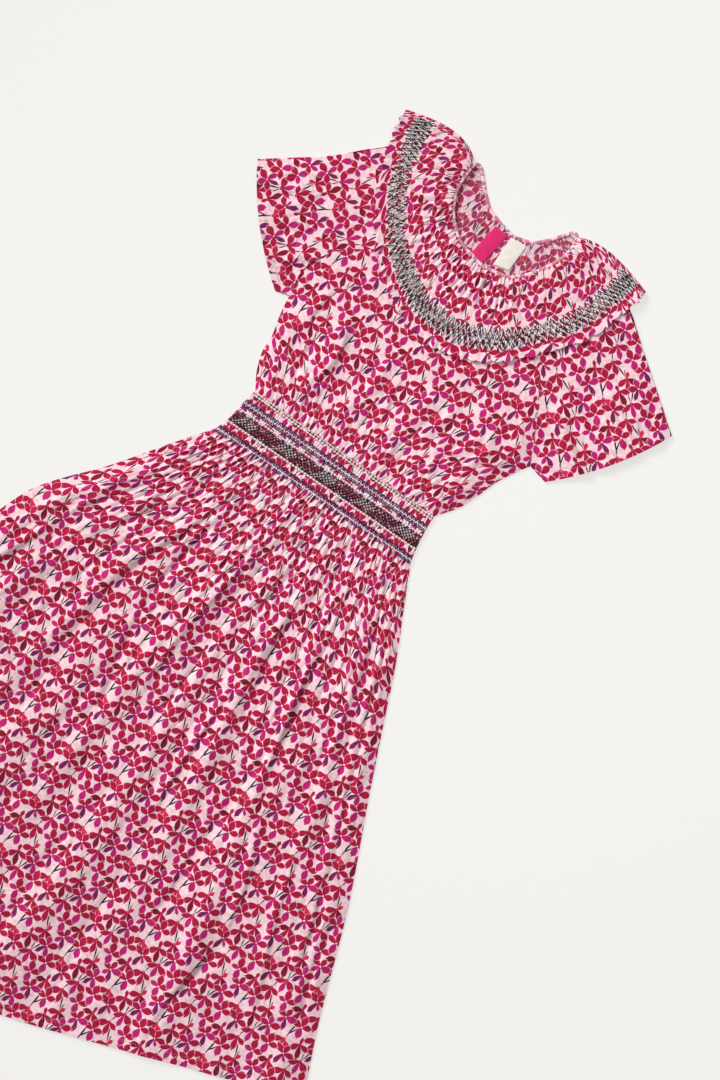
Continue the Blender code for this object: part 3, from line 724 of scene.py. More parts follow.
def stamped(shader, colour, ground, place, motif):
    """The colour with a motif of the repeat laid over it, in a thin halo of ground."""
    x, y, dot, dot_colour, petals = motif
    longest = max(petal[1] for petal in petals)
    half = (REPEAT[0] / 2 * MM, REPEAT[1] / 2 * MM, 1.0)
    here = shader.vector("SUBTRACT", place, (x * MM, y * MM, 0)).outputs[0]
    here = shader.vector("WRAP", here, half, tuple(-h for h in half)).outputs[0]
    far = shader.vector("LENGTH", here).outputs["Value"]
    axes = shader.axes(here)
    angle = shader.sum("ARCTAN2", axes[1], axes[0])
    angle = shader.sum("MULTIPLY_ADD", angle, 0.5 / math.pi, 0.5)
    edge = petal_curve(shader, angle, petals, longest)
    sharpness = longest / EDGE_BLUR
    inside = shader.sum("MULTIPLY_ADD", edge, sharpness, 0.5)
    inside = shader.sum("MULTIPLY_ADD", far, -sharpness / (longest * MM), inside)
    halo = shader.sum("ADD", inside, HALO, clamp=True)
    inside = shader.sum("MINIMUM", inside, 1.0, clamp=True)
    petal = petal_colours(shader, angle, petals)
    if dot:
        middle = shader.sum("MULTIPLY_ADD", far, -1 / (DOT_BLUR * MM), dot / DOT_BLUR, clamp=True)
        petal = shader.mix(middle, petal, seen(dot_colour))
    return shader.mix(inside, shader.mix(halo, colour, ground), petal)


def print_colour(shader):
    """The floral repeat on the pale ground."""
    wander = shader.noise(WANDER_NOISE, 1.0)
    offset = shader.vector("SUBTRACT", wander.outputs["Color"], (0.5, 0.5, 0.5)).outputs[0]
    offset = shader.vector("SCALE", offset)
    offset.inputs["Scale"].default_value = WANDER * MM
    place = shader.vector("ADD", shader.fabric, offset.outputs[0]).outputs[0]
    shade = shader.noise(SHADE_NOISE, 3.0).outputs[0]
    ground = shader.mix(shader.level(shade, 0.35, 0.65, 0.0, 1.0), seen(GROUND),
                        seen(tuple(GROUND_SHADE * c for c in GROUND)))
    motifs = [(x, y, 0.0, NAVY, petals) for x, y, petals in STEMS]
    motifs += [(x, y, SPRAY_DOT, WARM_CENTRE, petals) for x, y, petals in SPRAYS]
    motifs += [(x, y, dot, PALE_CENTRE, petals) for x, y, dot, petals in BLOSSOMS]
    colour = ground
    for motif in motifs:
        colour = stamped(shader, colour, ground, place, motif)
    streak = shader.noise(STREAK_NOISE, 2.0).outputs[0]
    return shader.mix(1.0, colour, shader.level(streak, 0.3, 0.7, *WASH), "MULTIPLY")


def weave(shader, pitch, strength):
    """Threads over and under, with a soft crumple under them."""
    threads = shader.sum("MULTIPLY", shader.ribs(0, pitch), shader.ribs(1, pitch))
    stretch = shader.node("ShaderNodeMapping", {"Vector": shader.fabric, "Scale": (1.0, 0.3, 1.0)})
    soft = shader.noise(85.0, 3.0, stretch.outputs[0]).outputs[0]
    first = shader.bump(soft, 0.6, 0.9 * MM)
    return shader.bump(threads, strength, 0.12 * MM, first)


def printed_cloth(name, fade=0.0, faded=GROUND):
    """Printed cotton; fade is how much of the print is lost in an even colour, which on the wrong
    side is darkened with painted shade.
    """
    shader = Shader(name, 0.82, sheen=0.12, specular=0.2)
    colour = print_colour(shader)
    if fade:
        colour = shader.mix(fade, colour, seen(faded))
    shader.set(Base_Color=colour, Normal=weave(shader, 0.7 * MM, 0.25))
    return shader.material


def plain_cloth(name, colour, pitch, roughness, sheen):
    """A plain weave with slightly uneven threads."""
    shader = Shader(name, roughness, sheen=sheen)
    shade = shader.noise(140.0, 3.0).outputs[0]
    dark = tuple(0.86 * c for c in colour)
    tone = shader.mix(shader.level(shade, 0.3, 0.7, 0.6, 1.0), seen(dark), seen(colour))
    ribs = shader.level(shader.ribs(1, 2 * pitch), -1.0, 1.0, 0.0, 0.25)
    tone = shader.mix(ribs, tone, seen(dark))
    shader.set(Base_Color=tone, Normal=weave(shader, pitch, 0.5))
    return shader.material


def thread(name, colour, gloss):
    """Twisted embroidery cotton: strands wind round each stitch, with painted shade in the grooves
    between them.
    """
    shader = Shader(name, gloss, sheen=0.1, specular=0.35)
    axes = shader.axes()
    wound = shader.sum("MULTIPLY_ADD", axes[0], 2 * math.pi / (0.9 * MM), axes[1])
    strands = shader.sum("SINE", wound)
    # painted shade: the grooves between the strands are coloured darker
    dark = tuple(0.9 * c for c in colour)
    tone = shader.mix(shader.level(strands, -1.0, 0.6, 1.0, 0.0), seen(colour), seen(dark))
    fuzz = shader.noise(900.0, 2.0).outputs[0]
    tone = shader.mix(shader.level(fuzz, 0.35, 0.75, 0.0, 0.2), tone, seen(dark))
    shader.set(Base_Color=tone, Normal=shader.bump(strands, 0.6, 0.15 * MM))
    return shader.material


# Meshes


def part_points(points):
    """Points of the tables, in millimetres, as points of the part, in metres."""
    moved = np.array(points, float).reshape(-1, 3)
    moved[:, :2] -= CENTRE
    return moved * MM


def placed(name, data):
    """A new object of the scene."""
    made = bpy.data.objects.new(name, data)
    bpy.context.scene.collection.objects.link(made)
    return made


def mesh_object(name, points, faces, uv, materials, face_material=None):
    """A mesh piece with its fabric coordinates, in metres of cloth."""
    mesh = bpy.data.meshes.new(name)
    mesh.from_pydata(part_points(points), [], faces.tolist())
    for one in materials:
        mesh.materials.append(one)
    if face_material is not None:
        mesh.polygons.foreach_set("material_index", face_material)
    corners = np.zeros(len(mesh.loops), int)
    mesh.loops.foreach_get("vertex_index", corners)
    layer = mesh.uv_layers.new(name="fabric")
    layer.uv.foreach_set("vector", (uv[corners] * MM).ravel())
    mesh.shade_smooth()
    mesh.set_sharp_from_angle(angle=math.radians(60))
    mesh.update()
    return placed(name, mesh)


def grid_faces(grid):
    """The four-cornered faces of a grid of point numbers."""
    faces = np.stack([grid[:-1, :-1], grid[:-1, 1:], grid[1:, 1:], grid[1:, :-1]], -1)
    return faces.reshape(-1, 4)


def shell(name, outside, inside, uv, materials):
    """A closed thin shell between two grids of points; the second material is on the inside."""
    rows, columns = outside.shape[:2]
    count = rows * columns
    grid = np.arange(count).reshape(rows, columns)
    quads = grid_faces(grid)
    rim = np.concatenate([grid[0], grid[1:, -1], grid[-1, -2::-1], grid[-2:0:-1, 0]])
    after = np.roll(rim, -1)
    edge = np.stack([after, rim, rim + count, after + count], -1)
    faces = np.concatenate([quads, quads[:, ::-1] + count, edge])
    points = np.concatenate([outside.reshape(-1, 3), inside.reshape(-1, 3)])
    corner = points[faces]
    spans = np.cross(corner[:, 1] - corner[:, 0], corner[:, 2] - corner[:, 0])
    if np.sum(corner[:, 0] * spans) < 0:
        faces = faces[:, ::-1]
    which = np.zeros(len(faces), int)
    which[len(quads):2 * len(quads)] = len(materials) - 1
    flat = uv.reshape(-1, 2)
    return mesh_object(name, points, faces, np.concatenate([flat, flat]), materials, which)


def wear(piece, slot, *nodes):
    """The piece rides on the dress and stands for its solids; slot is not used."""
    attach(piece, "root")
    if nodes:
        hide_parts(*nodes)
    return piece


def panel(name, plan, outer, inner, uv, fabric, slot, node):
    """Cloth between two heights over plan points, in place of a solid."""
    made = shell(name, raised(plan, outer), raised(plan, inner), uv, fabric)
    return wear(made, slot, node)


def stitches(name, starts, ends, up, width, look, slot):
    """Many short raised stitches as one mesh, each a bar that is thickest in its middle."""
    starts, ends = np.array(starts, float), np.array(ends, float)
    up = np.array(up, float)
    run = ends - starts
    length = np.linalg.norm(run, axis=1)
    side = unit(np.cross(run, up)) * width / 2
    high = up * width * STITCH_HEIGHT
    points, uv = [], []
    for share, size in ((0.0, STITCH_END), (0.5, 1.0), (1.0, STITCH_END)):
        middle = starts + run * share + up * width * STITCH_LIFT * size
        for k, offset in enumerate((side, high, -side, -high)):
            points.append(middle + offset * size)
            uv.append(np.stack([share * length, np.full(len(length), k * QUARTER_TURN)], axis=1))
    points = np.stack(points, axis=1)
    uv = np.stack(uv, axis=1)
    faces = [(0, 3, 2, 1), (8, 9, 10, 11)]
    for ring in (0, 4):
        for k in range(4):
            m = (k + 1) % 4
            faces.append((ring + k, ring + m, ring + 4 + m, ring + 4 + k))
    faces = np.array(faces)
    if up[2] < 0:
        faces = faces[:, ::-1]
    all_faces = (faces[None] + 12 * np.arange(len(starts))[:, None, None]).reshape(-1, 4)
    made = mesh_object(name, points.reshape(-1, 3), all_faces, uv.reshape(-1, 2), [look])
    return wear(made, slot)


def seam_line(surface, width):
    """The line on a grid of points that runs width from its last row."""
    far = np.linalg.norm(surface - surface[-1:], axis=-1)
    line = [[np.interp(width, far[::-1, k], surface[::-1, k, axis]) for axis in range(3)]
            for k in range(surface.shape[1])]
    return np.array(line)


def running_stitches(name, line, step, width, look, slot):
    """Small stitches along a line of points, one for every step points."""
    line = line[::step]
    ahead = np.diff(line, axis=0)
    return stitches(name, line[:-1] + 0.15 * ahead, line[:-1] + 0.75 * ahead, (0, 0, 1), width,
                    look, slot)


# Skirt


def skirt_plan(down, across, inset):
    """Plan points of a skirt panel, which fans out from the waist to the hem."""
    sides = through(SKIRT_SIDES, down)
    left, right = trimmed(sides[:, :2], sides[:, 2:], inset)
    hem = through(SKIRT_HEM, across)
    chord = between(hem[:1], hem[-1:], across)[0]
    sag = (hem - chord)[None] * (down**1.6)[:, None, None]
    plan = between(left, right, across) + sag
    plan[:, :, 1] -= (GAP + inset) * (1 - down)[:, None]
    return plan


def skirt_uv(plan, down, across):
    """Fabric under each point: at the waist each gather hides some of it."""
    rest = SKIRT_TAKEN_UP * (1 - smooth(down, 0.0, 0.34))[:, None]
    wide = from_sides(plan, across)[1]
    uv = plan.copy()
    uv[:, :, 0] += rest * (across[None, :] - 0.5) * wide
    return uv


def hem_fold(plan, width):
    """Height of the turned hem, with a groove where it is stitched down."""
    far = np.linalg.norm(plan - plan[-1:], axis=-1)
    return 0.45 * (1 - smooth(far, width - 1.5, width + 0.5)) - 0.5 * np.exp(
        -((far - width) / 1.6) ** 2)


def skirt_rise(plan, wide, s, t):
    """Gathers, folds, crumple and creases of the front over its flat cloth."""
    rise = gathers(s, t, *SKIRT_SHORT_GATHERS) + gathers(s, t, *SKIRT_GATHERS)
    rise = rise + gathers(s, t, *SKIRT_LONG_GATHERS) * smooth(t, 0.0, 0.25)
    for top, foot, start, end, half_width, height in SKIRT_FOLDS:
        off = (s - top - (foot - top) * t) * wide
        reach = np.sin(math.pi * np.clip((t - start) / (end - start), 0, 1))
        narrow = half_width * (0.45 + 0.55 * t)
        fold = FOLD_SHARE * height * reach * np.exp(-(off / narrow) ** 2)
        rise = rise + fold * smooth(t, -0.1, 0.3)
    rise = rise + 1.5 * smooth(t, 0.0, 0.3) + crumple(plan, *SKIRT_CRUMPLE) * smooth(t, 0.05, 0.3)
    return np.maximum(rise + creases(plan, SKIRT_CREASES), 0.0)


def make_skirt(fabric):
    """The gathered front, the plainer back, and the line of the hem's stitches."""
    down = np.linspace(0, 1, SKIRT_MESH[0]) ** WAIST_DENSITY
    across = np.linspace(0, 1, SKIRT_MESH[1])
    plan = skirt_plan(down, across, 0.0)
    from_side, wide = from_sides(plan, across)
    rise = skirt_rise(plan, wide, across[None, :], down[:, None])
    rise = rise * smooth(from_side, 0, SEAM_EASE)
    top = PANEL_TOP + rise + hem_fold(plan, SKIRT_HEM_WIDTH)
    top = top - (1 - smooth(from_side, 0, PRESSED_SIDE))
    front = panel("skirt_cloth_front", plan, top, top - SHOWN, skirt_uv(plan, down, across),
                  fabric, "printed_cloth", "skirt_front")
    hem = seam_line(raised(plan, top), SKIRT_HEM_WIDTH)

    down, across = (np.linspace(0, 1, count) for count in SKIRT_BACK_MESH)
    plan = skirt_plan(down, across, BACK_INSET)
    under = gathers(across[None, :], down[:, None], *SKIRT_BACK_GATHERS)
    uv = skirt_uv(plan, down, across) * (-1, 1)
    back = panel("skirt_cloth_back", plan, under, under + SHOWN, uv, fabric, "printed_cloth",
                 "skirt_back")
    return front, back, hem


# Waist band


def band_plan(up, across, inset):
    """Plan points of the band for arrays of places up and across it."""
    sides = through(BAND_SIDES, up)
    left, right = trimmed(sides[..., :2], sides[..., 2:], inset)
    return left * (1 - across[..., None]) + right * across[..., None]


def band_relief(up, across):
    """Height of the pinched pleats over the plain inside."""
    pinch = 0.8 + PINCH_DEPTH * np.cos(2 * math.pi * up * BAND_PINCHES)
    from_side = np.minimum(across, 1 - across) * BAND_WIDTH
    return 0.15 + 0.95 * pleats(across, BAND_PLEATS) * pinch * smooth(from_side, 0, 5)


def make_band(fabric):
    """The pleated front of the band and its back on elastic."""
    up = np.linspace(0, 1, BAND_MESH[0])[:, None]
    across = np.linspace(0, 1, BAND_MESH[1] * BAND_PLEATS + 1)[None, :]
    up, across = np.broadcast_arrays(up, across)
    plan = band_plan(up, across, 0.0)
    top = PANEL_TOP + band_relief(up, across)
    uv = plan * (1.2, 1.0)
    front = panel("band_cloth_front", plan, top, top - SHOWN, uv, fabric, "smocked_band",
                  "waistband_front")
    up, across, uv = up[::4], across[::4], uv[::4]
    plan = band_plan(up, across, BACK_INSET)
    under = 0.35 + 0.45 * (1 - pleats(across, BAND_PLEATS))
    back = panel("band_cloth_back", plan, under, under + UNDER_SHOWN, uv * (-1, 1), fabric,
                 "smocked_band", "waistband_back")
    return front, back


def band_stitch(up_mm, across):
    """A point on the band's threads: up_mm from its middle, across from 0 to 1."""
    up = np.array(up_mm, float) / BAND_HEIGHT + 0.5
    across = np.clip(np.array(across, float), 0.004, 0.996)
    plan = band_plan(np.clip(up, -0.1, 1.0), across, 0.0)
    height = PANEL_TOP + BAND_THREAD_LIFT + BELOW_BAND_LIFT * (1 - smooth(up, 0.0, 0.07))
    return raised(plan, height)


def dashes(level, count, share):
    """A line of running stitches right across the band."""
    step = 1.0 / count
    start = np.arange(count) * step + step * 0.1
    return [(level, a, level, a + step * share) for a in start]


def zigzag(level, rise, count, shift=0):
    """A row of slanted stitches, up and down in turn."""
    step = 1.0 / count
    rows = []
    for k in range(count):
        lift = rise if (k + shift) % 2 == 0 else -rise
        rows.append((level - lift, (k + 0.04) * step, level + lift, (k + 0.96) * step))
    return rows


def dots(level, count, shift=0.0):
    """A row of short upright stitches."""
    places = (np.arange(count) + 0.5 + shift) / (count + 1)
    return [(level - 0.7, a, level + 0.7, a) for a in places]


BAND_ROWS = {
    "white": dashes(32.0, 60, 0.80) + dashes(28.0, 60, 0.80) + dashes(2.8, 64, 0.88)
    + dashes(-17.6, 64, 0.88),
    "cross": zigzag(12.6, 3.6, 96) + zigzag(-33.0, 3.4, 96) + dots(12.6, 48) + dots(-33.0, 48),
    "purple": zigzag(14.8, 1.1, 110) + zigzag(10.4, 1.1, 110, 1)
    + zigzag(-30.8, 1.1, 110) + zigzag(-35.2, 1.1, 110, 1),
    "navy": zigzag(17.2, 1.1, 110) + zigzag(8.0, 1.1, 110, 1)
    + zigzag(-28.4, 1.1, 110) + zigzag(-37.4, 1.1, 110, 1),
    "black": zigzag(-0.8, 1.1, 110) + zigzag(-3.2, 1.1, 110, 1) + zigzag(-5.6, 1.1, 110)
    + zigzag(-8.0, 1.1, 110, 1) + zigzag(-10.4, 1.1, 110) + zigzag(-12.8, 1.1, 110, 1)
    + zigzag(-14.8, 0.9, 110),
    "grey": dots(-1.8, 52, 0.5) + dots(-5.0, 52) + dots(-8.4, 52, 0.5) + dots(-11.8, 52),
}


def band_threads(looks):
    """The rows of stitches on the front of the band, and fine ones under its back."""
    made = []
    for colour, rows in BAND_ROWS.items():
        table = np.array(rows)
        starts = band_stitch(table[:, 0], table[:, 1])
        ends = band_stitch(table[:, 2], table[:, 3])
        made.append(stitches("band_thread_" + colour, starts, ends, (0, 0, 1),
                             THREAD_WIDTHS[colour], looks[colour], "smocked_band"))
        starts[:, 2] = BACK_THREAD_HEIGHT
        ends[:, 2] = BACK_THREAD_HEIGHT
        made.append(stitches("band_thread_back_" + colour, starts, ends, (0, 0, -1), BACK_THREAD,
                             looks[colour], "smocked_band"))
    return made


# Bodice


def bodice_plan(side_up, seam_up, across, seam_columns, neck):
    """Plan points of a bodice panel: side seams, then sleeve seams up to the neck curve."""
    side = through(BODICE_SIDES, side_up)
    seam = seam_columns + 1
    left_seam = through(LEFT_RAGLAN, 1 - seam_up)[:, seam_columns:seam + 1]
    right_seam = through(RIGHT_RAGLAN, 1 - seam_up)[:, seam_columns:seam + 1]
    left = np.concatenate([side[:, :2], left_seam[1:]])
    right = np.concatenate([side[:, 2:], right_seam[1:]])
    left, right = trimmed(left, right, GAP)
    plan = between(left, right, across)
    rise = np.concatenate([0 * side_up, seam_up[1:] ** 2.2])
    plan[:, :, 1] += neck(plan[-1], across)[None, :] * rise[:, None]
    plan[:, :, 1] += GAP * (1 - smooth(np.arange(len(rise)) / len(rise), 0, 0.2))[:, None]
    return plan


def front_neck(top, across):
    """How far the neck edge of the front lies above the line between its corners."""
    return FRONT_NECK_DROP * (np.abs(2 * across - 1) ** NECK_ROUNDNESS - 1)


def back_neck(top, across):
    """The same for the back, which ends under the binding."""
    x, y = np.array(BACK_NECK, float).T
    return np.interp(top[:, 0], x, y) - top[:, 1]


def bodice_rise(plan, wide, s, t):
    """Gathers, folds, crumple and creases of the front, lying still under the collar."""
    free = gathers(s, t, *WAIST_GATHERS) + gathers(s, t, *BODICE_GATHERS)
    free = free + gathers(s, 0.62 - t, *UNDER_COLLAR_GATHERS) * smooth(t, 0.2, 0.45)
    for middle, half_width, height in BODICE_FOLDS:
        fold = height * np.exp(-((s - middle) * wide / half_width) ** 2)
        free = free + fold * smooth(t, 0.0, 0.2)
    free = free + 2.0 + 2.0 * np.sin(math.pi * np.clip(t / 0.6, 0, 1))
    free = free + crumple(plan, *BODICE_CRUMPLE) + creases(plan, BODICE_CREASES)
    return free * clear_of_collar(plan)


def make_bodice(fabric):
    """The gathered front of the bodice and its back."""
    side_up, seam_up, across = (np.linspace(0, 1, count) for count in BODICE_MESH)
    height = np.concatenate([UNDERARM_AT * side_up, UNDERARM_AT + (1 - UNDERARM_AT) * seam_up[1:]])
    plan = bodice_plan(side_up, seam_up, across, 0, front_neck)
    s, t = across[None, :], height[:, None]
    from_side, wide = from_sides(plan, across)
    free = bodice_rise(plan, wide, s, t)
    edge = SEAM_PUFF * smooth(t, UNDERARM_AT, UNDERARM_AT + 0.1)
    rise = edge + (np.maximum(free, SEAM_PUFF) - edge) * smooth(from_side, 0, SEAM_EASE)
    pressed = (1 - smooth(from_side, 0, PRESSED_SIDE)) * (1 - smooth(t, 0.38, 0.44))
    top = back_level(plan) + PANEL_TOP + rise - pressed
    taken_up = 0.35 * plan[:, :, 0] * (1 - smooth(t, 0.0, 0.4))
    uv = plan + np.stack([taken_up, 0 * taken_up], -1)
    front = panel("bodice_cloth_front", plan, top, top - SHOWN, uv, fabric, "printed_cloth",
                  "bodice_front")

    side_up, seam_up, across = (np.linspace(0, 1, count) for count in BODICE_BACK_MESH)
    plan = bodice_plan(side_up, seam_up, across, 2, back_neck)
    under = back_level(plan)
    s, t = across[None, :], np.concatenate([0.4 * side_up, 0.4 + 0.6 * seam_up[1:]])[:, None]
    inner = 0.5 + gathers(s, 1 - t, *BACK_NECK_GATHERS) * smooth(t, 0.5, 0.7)
    back = panel("bodice_cloth_back", plan, under, under + inner, plan * (-1.5, 1), fabric,
                 "printed_cloth", "bodice_back")
    return front, back


# Sleeves


def sleeve_edges(raglan, shoulder, corner, along):
    """Shoulder fold, front seam and back seam of a sleeve, at positions from neck to cuff."""
    fold = through(shoulder, along)
    seams = through(raglan, np.minimum(along, 1))
    cuff = np.clip((along - 1) / (CUFF_AT - 1), 0, 1)[:, None]
    corner = np.array([*corner, *corner], float)
    seams = seams * (1 - cuff) + corner * cuff
    return fold, seams[:, :2], seams[:, 2:]


def sleeve_layer(fold, seam, along, inward, neck_bow):
    """Plan points from the shoulder fold to a seam, inward running from 0 to 1."""
    grid = between(fold, seam, inward)
    arc = 4 * inward * (1 - inward)
    middle = (fold + seam) / 2
    out = unit(middle[-1] - middle[len(middle) * 3 // 4])
    cuff = smooth(along, 1.0, CUFF_AT)
    grid = grid + CUFF_BOW * cuff[:, None, None] * arc[None, :, None] * out
    neck = 1 - smooth(along, 0, 0.18)
    side = np.array([math.copysign(neck_bow, out[0]), 0.0])
    return grid + neck[:, None, None] * arc[None, :, None] * side


def turned(points, degrees):
    """Points turned about the origin, into the axes of cloth that is cut at a slant."""
    c, s = math.cos(math.radians(degrees)), math.sin(math.radians(degrees))
    return points @ np.array([[c, -s], [s, c]])


def sleeve_rise(upper, t, a, crease_table):
    """Height of the upper layer over flat cloth: waves of the cuff, gathers and creases."""
    wave = gather(a * 0.9 + 0.1 * t, 3) * (0.6 + 3.2 * smooth(t, 0.6, CUFF_AT))
    wave = wave + gathers(a, 1.1 - t, *CUFF_GATHERS) + crumple(upper, *SLEEVE_CRUMPLE)
    wave = wave + creases(upper, crease_table)
    under_arm = smooth(t, 0.86, 1.0) * smooth(a, 0.72, 1.0)
    near_fold = smooth(a, 0, 0.15)
    puff = SEAM_PUFF + np.maximum(wave, 0) * clear_of_collar(upper) * near_fold
    return puff * (1 - under_arm) + hem_fold(upper, CUFF_HEM) * near_fold


def make_sleeve(side, fabric):
    """One piece of cloth folded along the shoulder, its two edges meeting under the arm."""
    raglan, shoulder, corner, neck_reach, crease_table, grain = SLEEVES[side]
    to_underarm, to_cuff, above, below = SLEEVE_MESH
    along = np.concatenate([np.linspace(0, 1, to_underarm), np.linspace(1, CUFF_AT, to_cuff)[1:]])
    fold, front, back = sleeve_edges(raglan, shoulder, corner, along)
    front, back = trimmed(fold, front, GAP)[1], trimmed(fold, back, GAP)[1]
    upper_in, lower_in = np.linspace(0, 1, above), np.linspace(0, 1, below)
    upper = sleeve_layer(fold, front, along, upper_in, NECK_BOW)
    lower = sleeve_layer(fold, back, along, lower_in, -neck_reach)
    top = back_level(upper) + PANEL_TOP
    top = top + sleeve_rise(upper, along[:, None], upper_in[None, :], crease_table)
    bottom = back_level(lower)

    radius = (PANEL_TOP + SEAM_PUFF) / 2
    into = unit(front - fold)[:, None, :]
    angles = np.radians(np.linspace(-90, 90, 11))
    middle = back_level(fold)[:, None] + radius
    layers = []
    for size, cloth_in in ((radius, 0.0), (radius - SHOWN, SHOWN)):
        edge = fold[:, None, :] + into * (radius - size * np.cos(angles))[None, :, None]
        rim = raised(edge, middle + size * np.sin(angles)[None, :])
        layers.append(np.concatenate([raised(lower, bottom + cloth_in)[:, :0:-1], rim,
                                      raised(upper, top - cloth_in)[:, 1:]], axis=1))
    outside, inside = layers

    axis = unit(fold[-1] - fold[len(fold) // 2])
    plan = outside[:, :, :2] - fold[-1]
    away = plan @ np.array([-axis[1], axis[0]])
    away[:, :lower.shape[1] - 1] *= -1
    uv = turned(np.stack([plan @ axis, away], axis=-1), grain)
    made = shell("sleeve_cloth_" + side, outside, inside, uv, fabric)
    hem = seam_line(raised(upper, top), CUFF_HEM)
    return wear(made, "printed_cloth", "sleeve_" + side), hem


# Collar


def collar_plan(table, rows, outward, inset, bow):
    """Plan points of a collar for arrays of places round the neck and outward from it."""
    ends = through(table, rows)
    neck, edge = ends[..., :2], ends[..., 2:]
    neck = neck + unit(edge - neck) * inset
    plan = neck * (1 - outward[..., None]) + edge * outward[..., None]
    at_left = bow[0] * (1 - smooth(rows, 0, BOW_ROWS))
    at_right = bow[1] * (1 - smooth(COLLAR_ROWS - rows, 0, BOW_ROWS))
    plan[..., 1] += np.sin(math.pi * np.clip(outward, 0, 1)**BOW_POWER) * (at_left + at_right)
    return plan


def collar_relief(turn, outward):
    """Pinched pleats under the smocking, gathers towards the neck and waves at the edge."""
    stitched = smooth(outward, SMOCKED_FROM - 0.07, SMOCKED_FROM) * (
        1 - smooth(outward, SMOCKED_TO - 0.02, SMOCKED_TO + 0.05))
    pinch = 0.8 + PINCH_DEPTH * np.cos(2 * math.pi * (outward - SMOCKED_FROM) / PINCH_STEP)
    relief = 0.3 + stitched * pleats(turn, COLLAR_PLEATS) * pinch
    yoke = 1 - smooth(outward, SMOCKED_FROM - 0.12, SMOCKED_FROM + 0.02)
    deep = 1.9 + 1.4 * smooth(outward, 0.03, 0.2)
    relief = relief + yoke * (deep * gathers(turn, outward, *YOKE_GATHERS)
                              + gathers(turn, outward, *NECK_GATHERS)
                              + gathers(turn, 0.6 - outward, *SMOCKED_GATHERS))
    relief = relief - 1.3 * (1 - smooth(outward, 0.0, 0.05))
    ruffle = smooth(outward, SMOCKED_TO - 0.03, 1.0)
    waves = ruffle * (1.6 * gather(turn + 0.01, RUFFLE_WAVES)
                      + gathers(turn, 1 - outward, *RUFFLE_GATHERS))
    return relief + waves, waves


def folded_end(line):
    """Outer and inner points of a shoulder end, folded round and under along its line."""
    away = np.array([0.0, -1.0])
    layers = []
    for size, cloth_in in ((COLLAR_FOLD, 0.0), (COLLAR_FOLD - SHOWN, SHOWN)):
        columns = [raised(line + away * (COLLAR_FOLD - size * math.cos(angle)),
                          COLLAR_FOLD + size * math.sin(angle)) for angle in FOLD_ANGLES]
        columns.append(raised(line + away * BACK_LAP, cloth_in))
        layers.append(np.stack(columns, axis=1))
    return layers


def collar_uv(outward, rows):
    """Fabric of the front: a ring round the neck, drawn together here and there at the edge."""
    at_neck, more, depth = COLLAR_CLOTH
    half_round = at_neck + more * outward
    turn = 2 * rows / COLLAR_ROWS - 1
    under_edge = COLLAR_FOLD * (math.pi / 2 - FOLD_ANGLES)
    under_edge = np.append(under_edge, under_edge[-1] + BACK_LAP - COLLAR_FOLD)[None, :]
    squeezed = 2.6 * smooth(outward, 0.86, 1.0) * np.sin(
        2 * math.pi * RUFFLE_SQUEEZES * rows / COLLAR_ROWS)
    round_neck = np.concatenate([-half_round - under_edge[:, ::-1], half_round * turn + squeezed,
                                 half_round + under_edge], axis=1)
    return np.stack([round_neck, -depth * outward + 0 * round_neck], axis=-1)


def make_collar(fabric):
    """Front half with its turned shoulder ends, and the flat back half."""
    outward = np.concatenate([np.linspace(0, 0.53, 24), np.linspace(0.55, 1.0, 30)])
    rows = np.linspace(0.5, COLLAR_ROWS - 0.5, 4 * COLLAR_PLEATS + 1)
    outward_grid, rows_grid = np.broadcast_arrays(outward[:, None], rows[None, :])
    front = collar_plan(COLLAR_FRONT, rows_grid, outward_grid, NECK_SHOWN, SHOULDER_BOW)
    relief, waves = collar_relief(rows_grid / COLLAR_ROWS, outward_grid)
    push = smooth(outward, 0.9, 1.0)[:, None, None] * unit(front[-1] - front[-2])[None]
    front = front + push * (1.5 * waves[-1][None, :, None] - 2.6)
    top = COLLAR_UNDER + WALL + relief

    ends_out, ends_rows = np.broadcast_arrays(outward[:, None], np.array([[0.0, COLLAR_ROWS]]))
    ends = collar_plan(COLLAR_FRONT, ends_rows, ends_out, NECK_SHOWN, SHOULDER_BOW)
    left_out, left_in = folded_end(ends[:, 0])
    right_out, right_in = folded_end(ends[:, 1])
    outside = np.concatenate([left_out[:, ::-1], raised(front, top), right_out], axis=1)
    inside = np.concatenate([left_in[:, ::-1], raised(front, top - SHOWN), right_in], axis=1)
    made = shell("collar_cloth_front", outside, inside, collar_uv(outward[:, None], rows_grid),
                 fabric)
    wear(made, "smocked_collar", "collar_front")

    rows = np.linspace(0, COLLAR_ROWS, 2 * COLLAR_PLEATS + 1)
    outward_grid, rows_grid = np.broadcast_arrays(np.linspace(0, 1, 21)[:, None], rows[None, :])
    plan = collar_plan(COLLAR_BACK, rows_grid, outward_grid, 0.0, NO_BOW)
    pleat = np.abs(np.sin(math.pi * COLLAR_PLEATS / 2 * rows_grid / COLLAR_ROWS))
    under = 0.25 + 0.4 * (1 - pleat)
    length, depth = COLLAR_BACK_CLOTH
    uv = np.stack([-length * rows_grid, -depth * outward_grid], axis=-1)
    back = panel("collar_cloth_back", plan, under, under + UNDER_SHOWN, uv, fabric,
                 "smocked_collar", "collar_back")
    return made, back


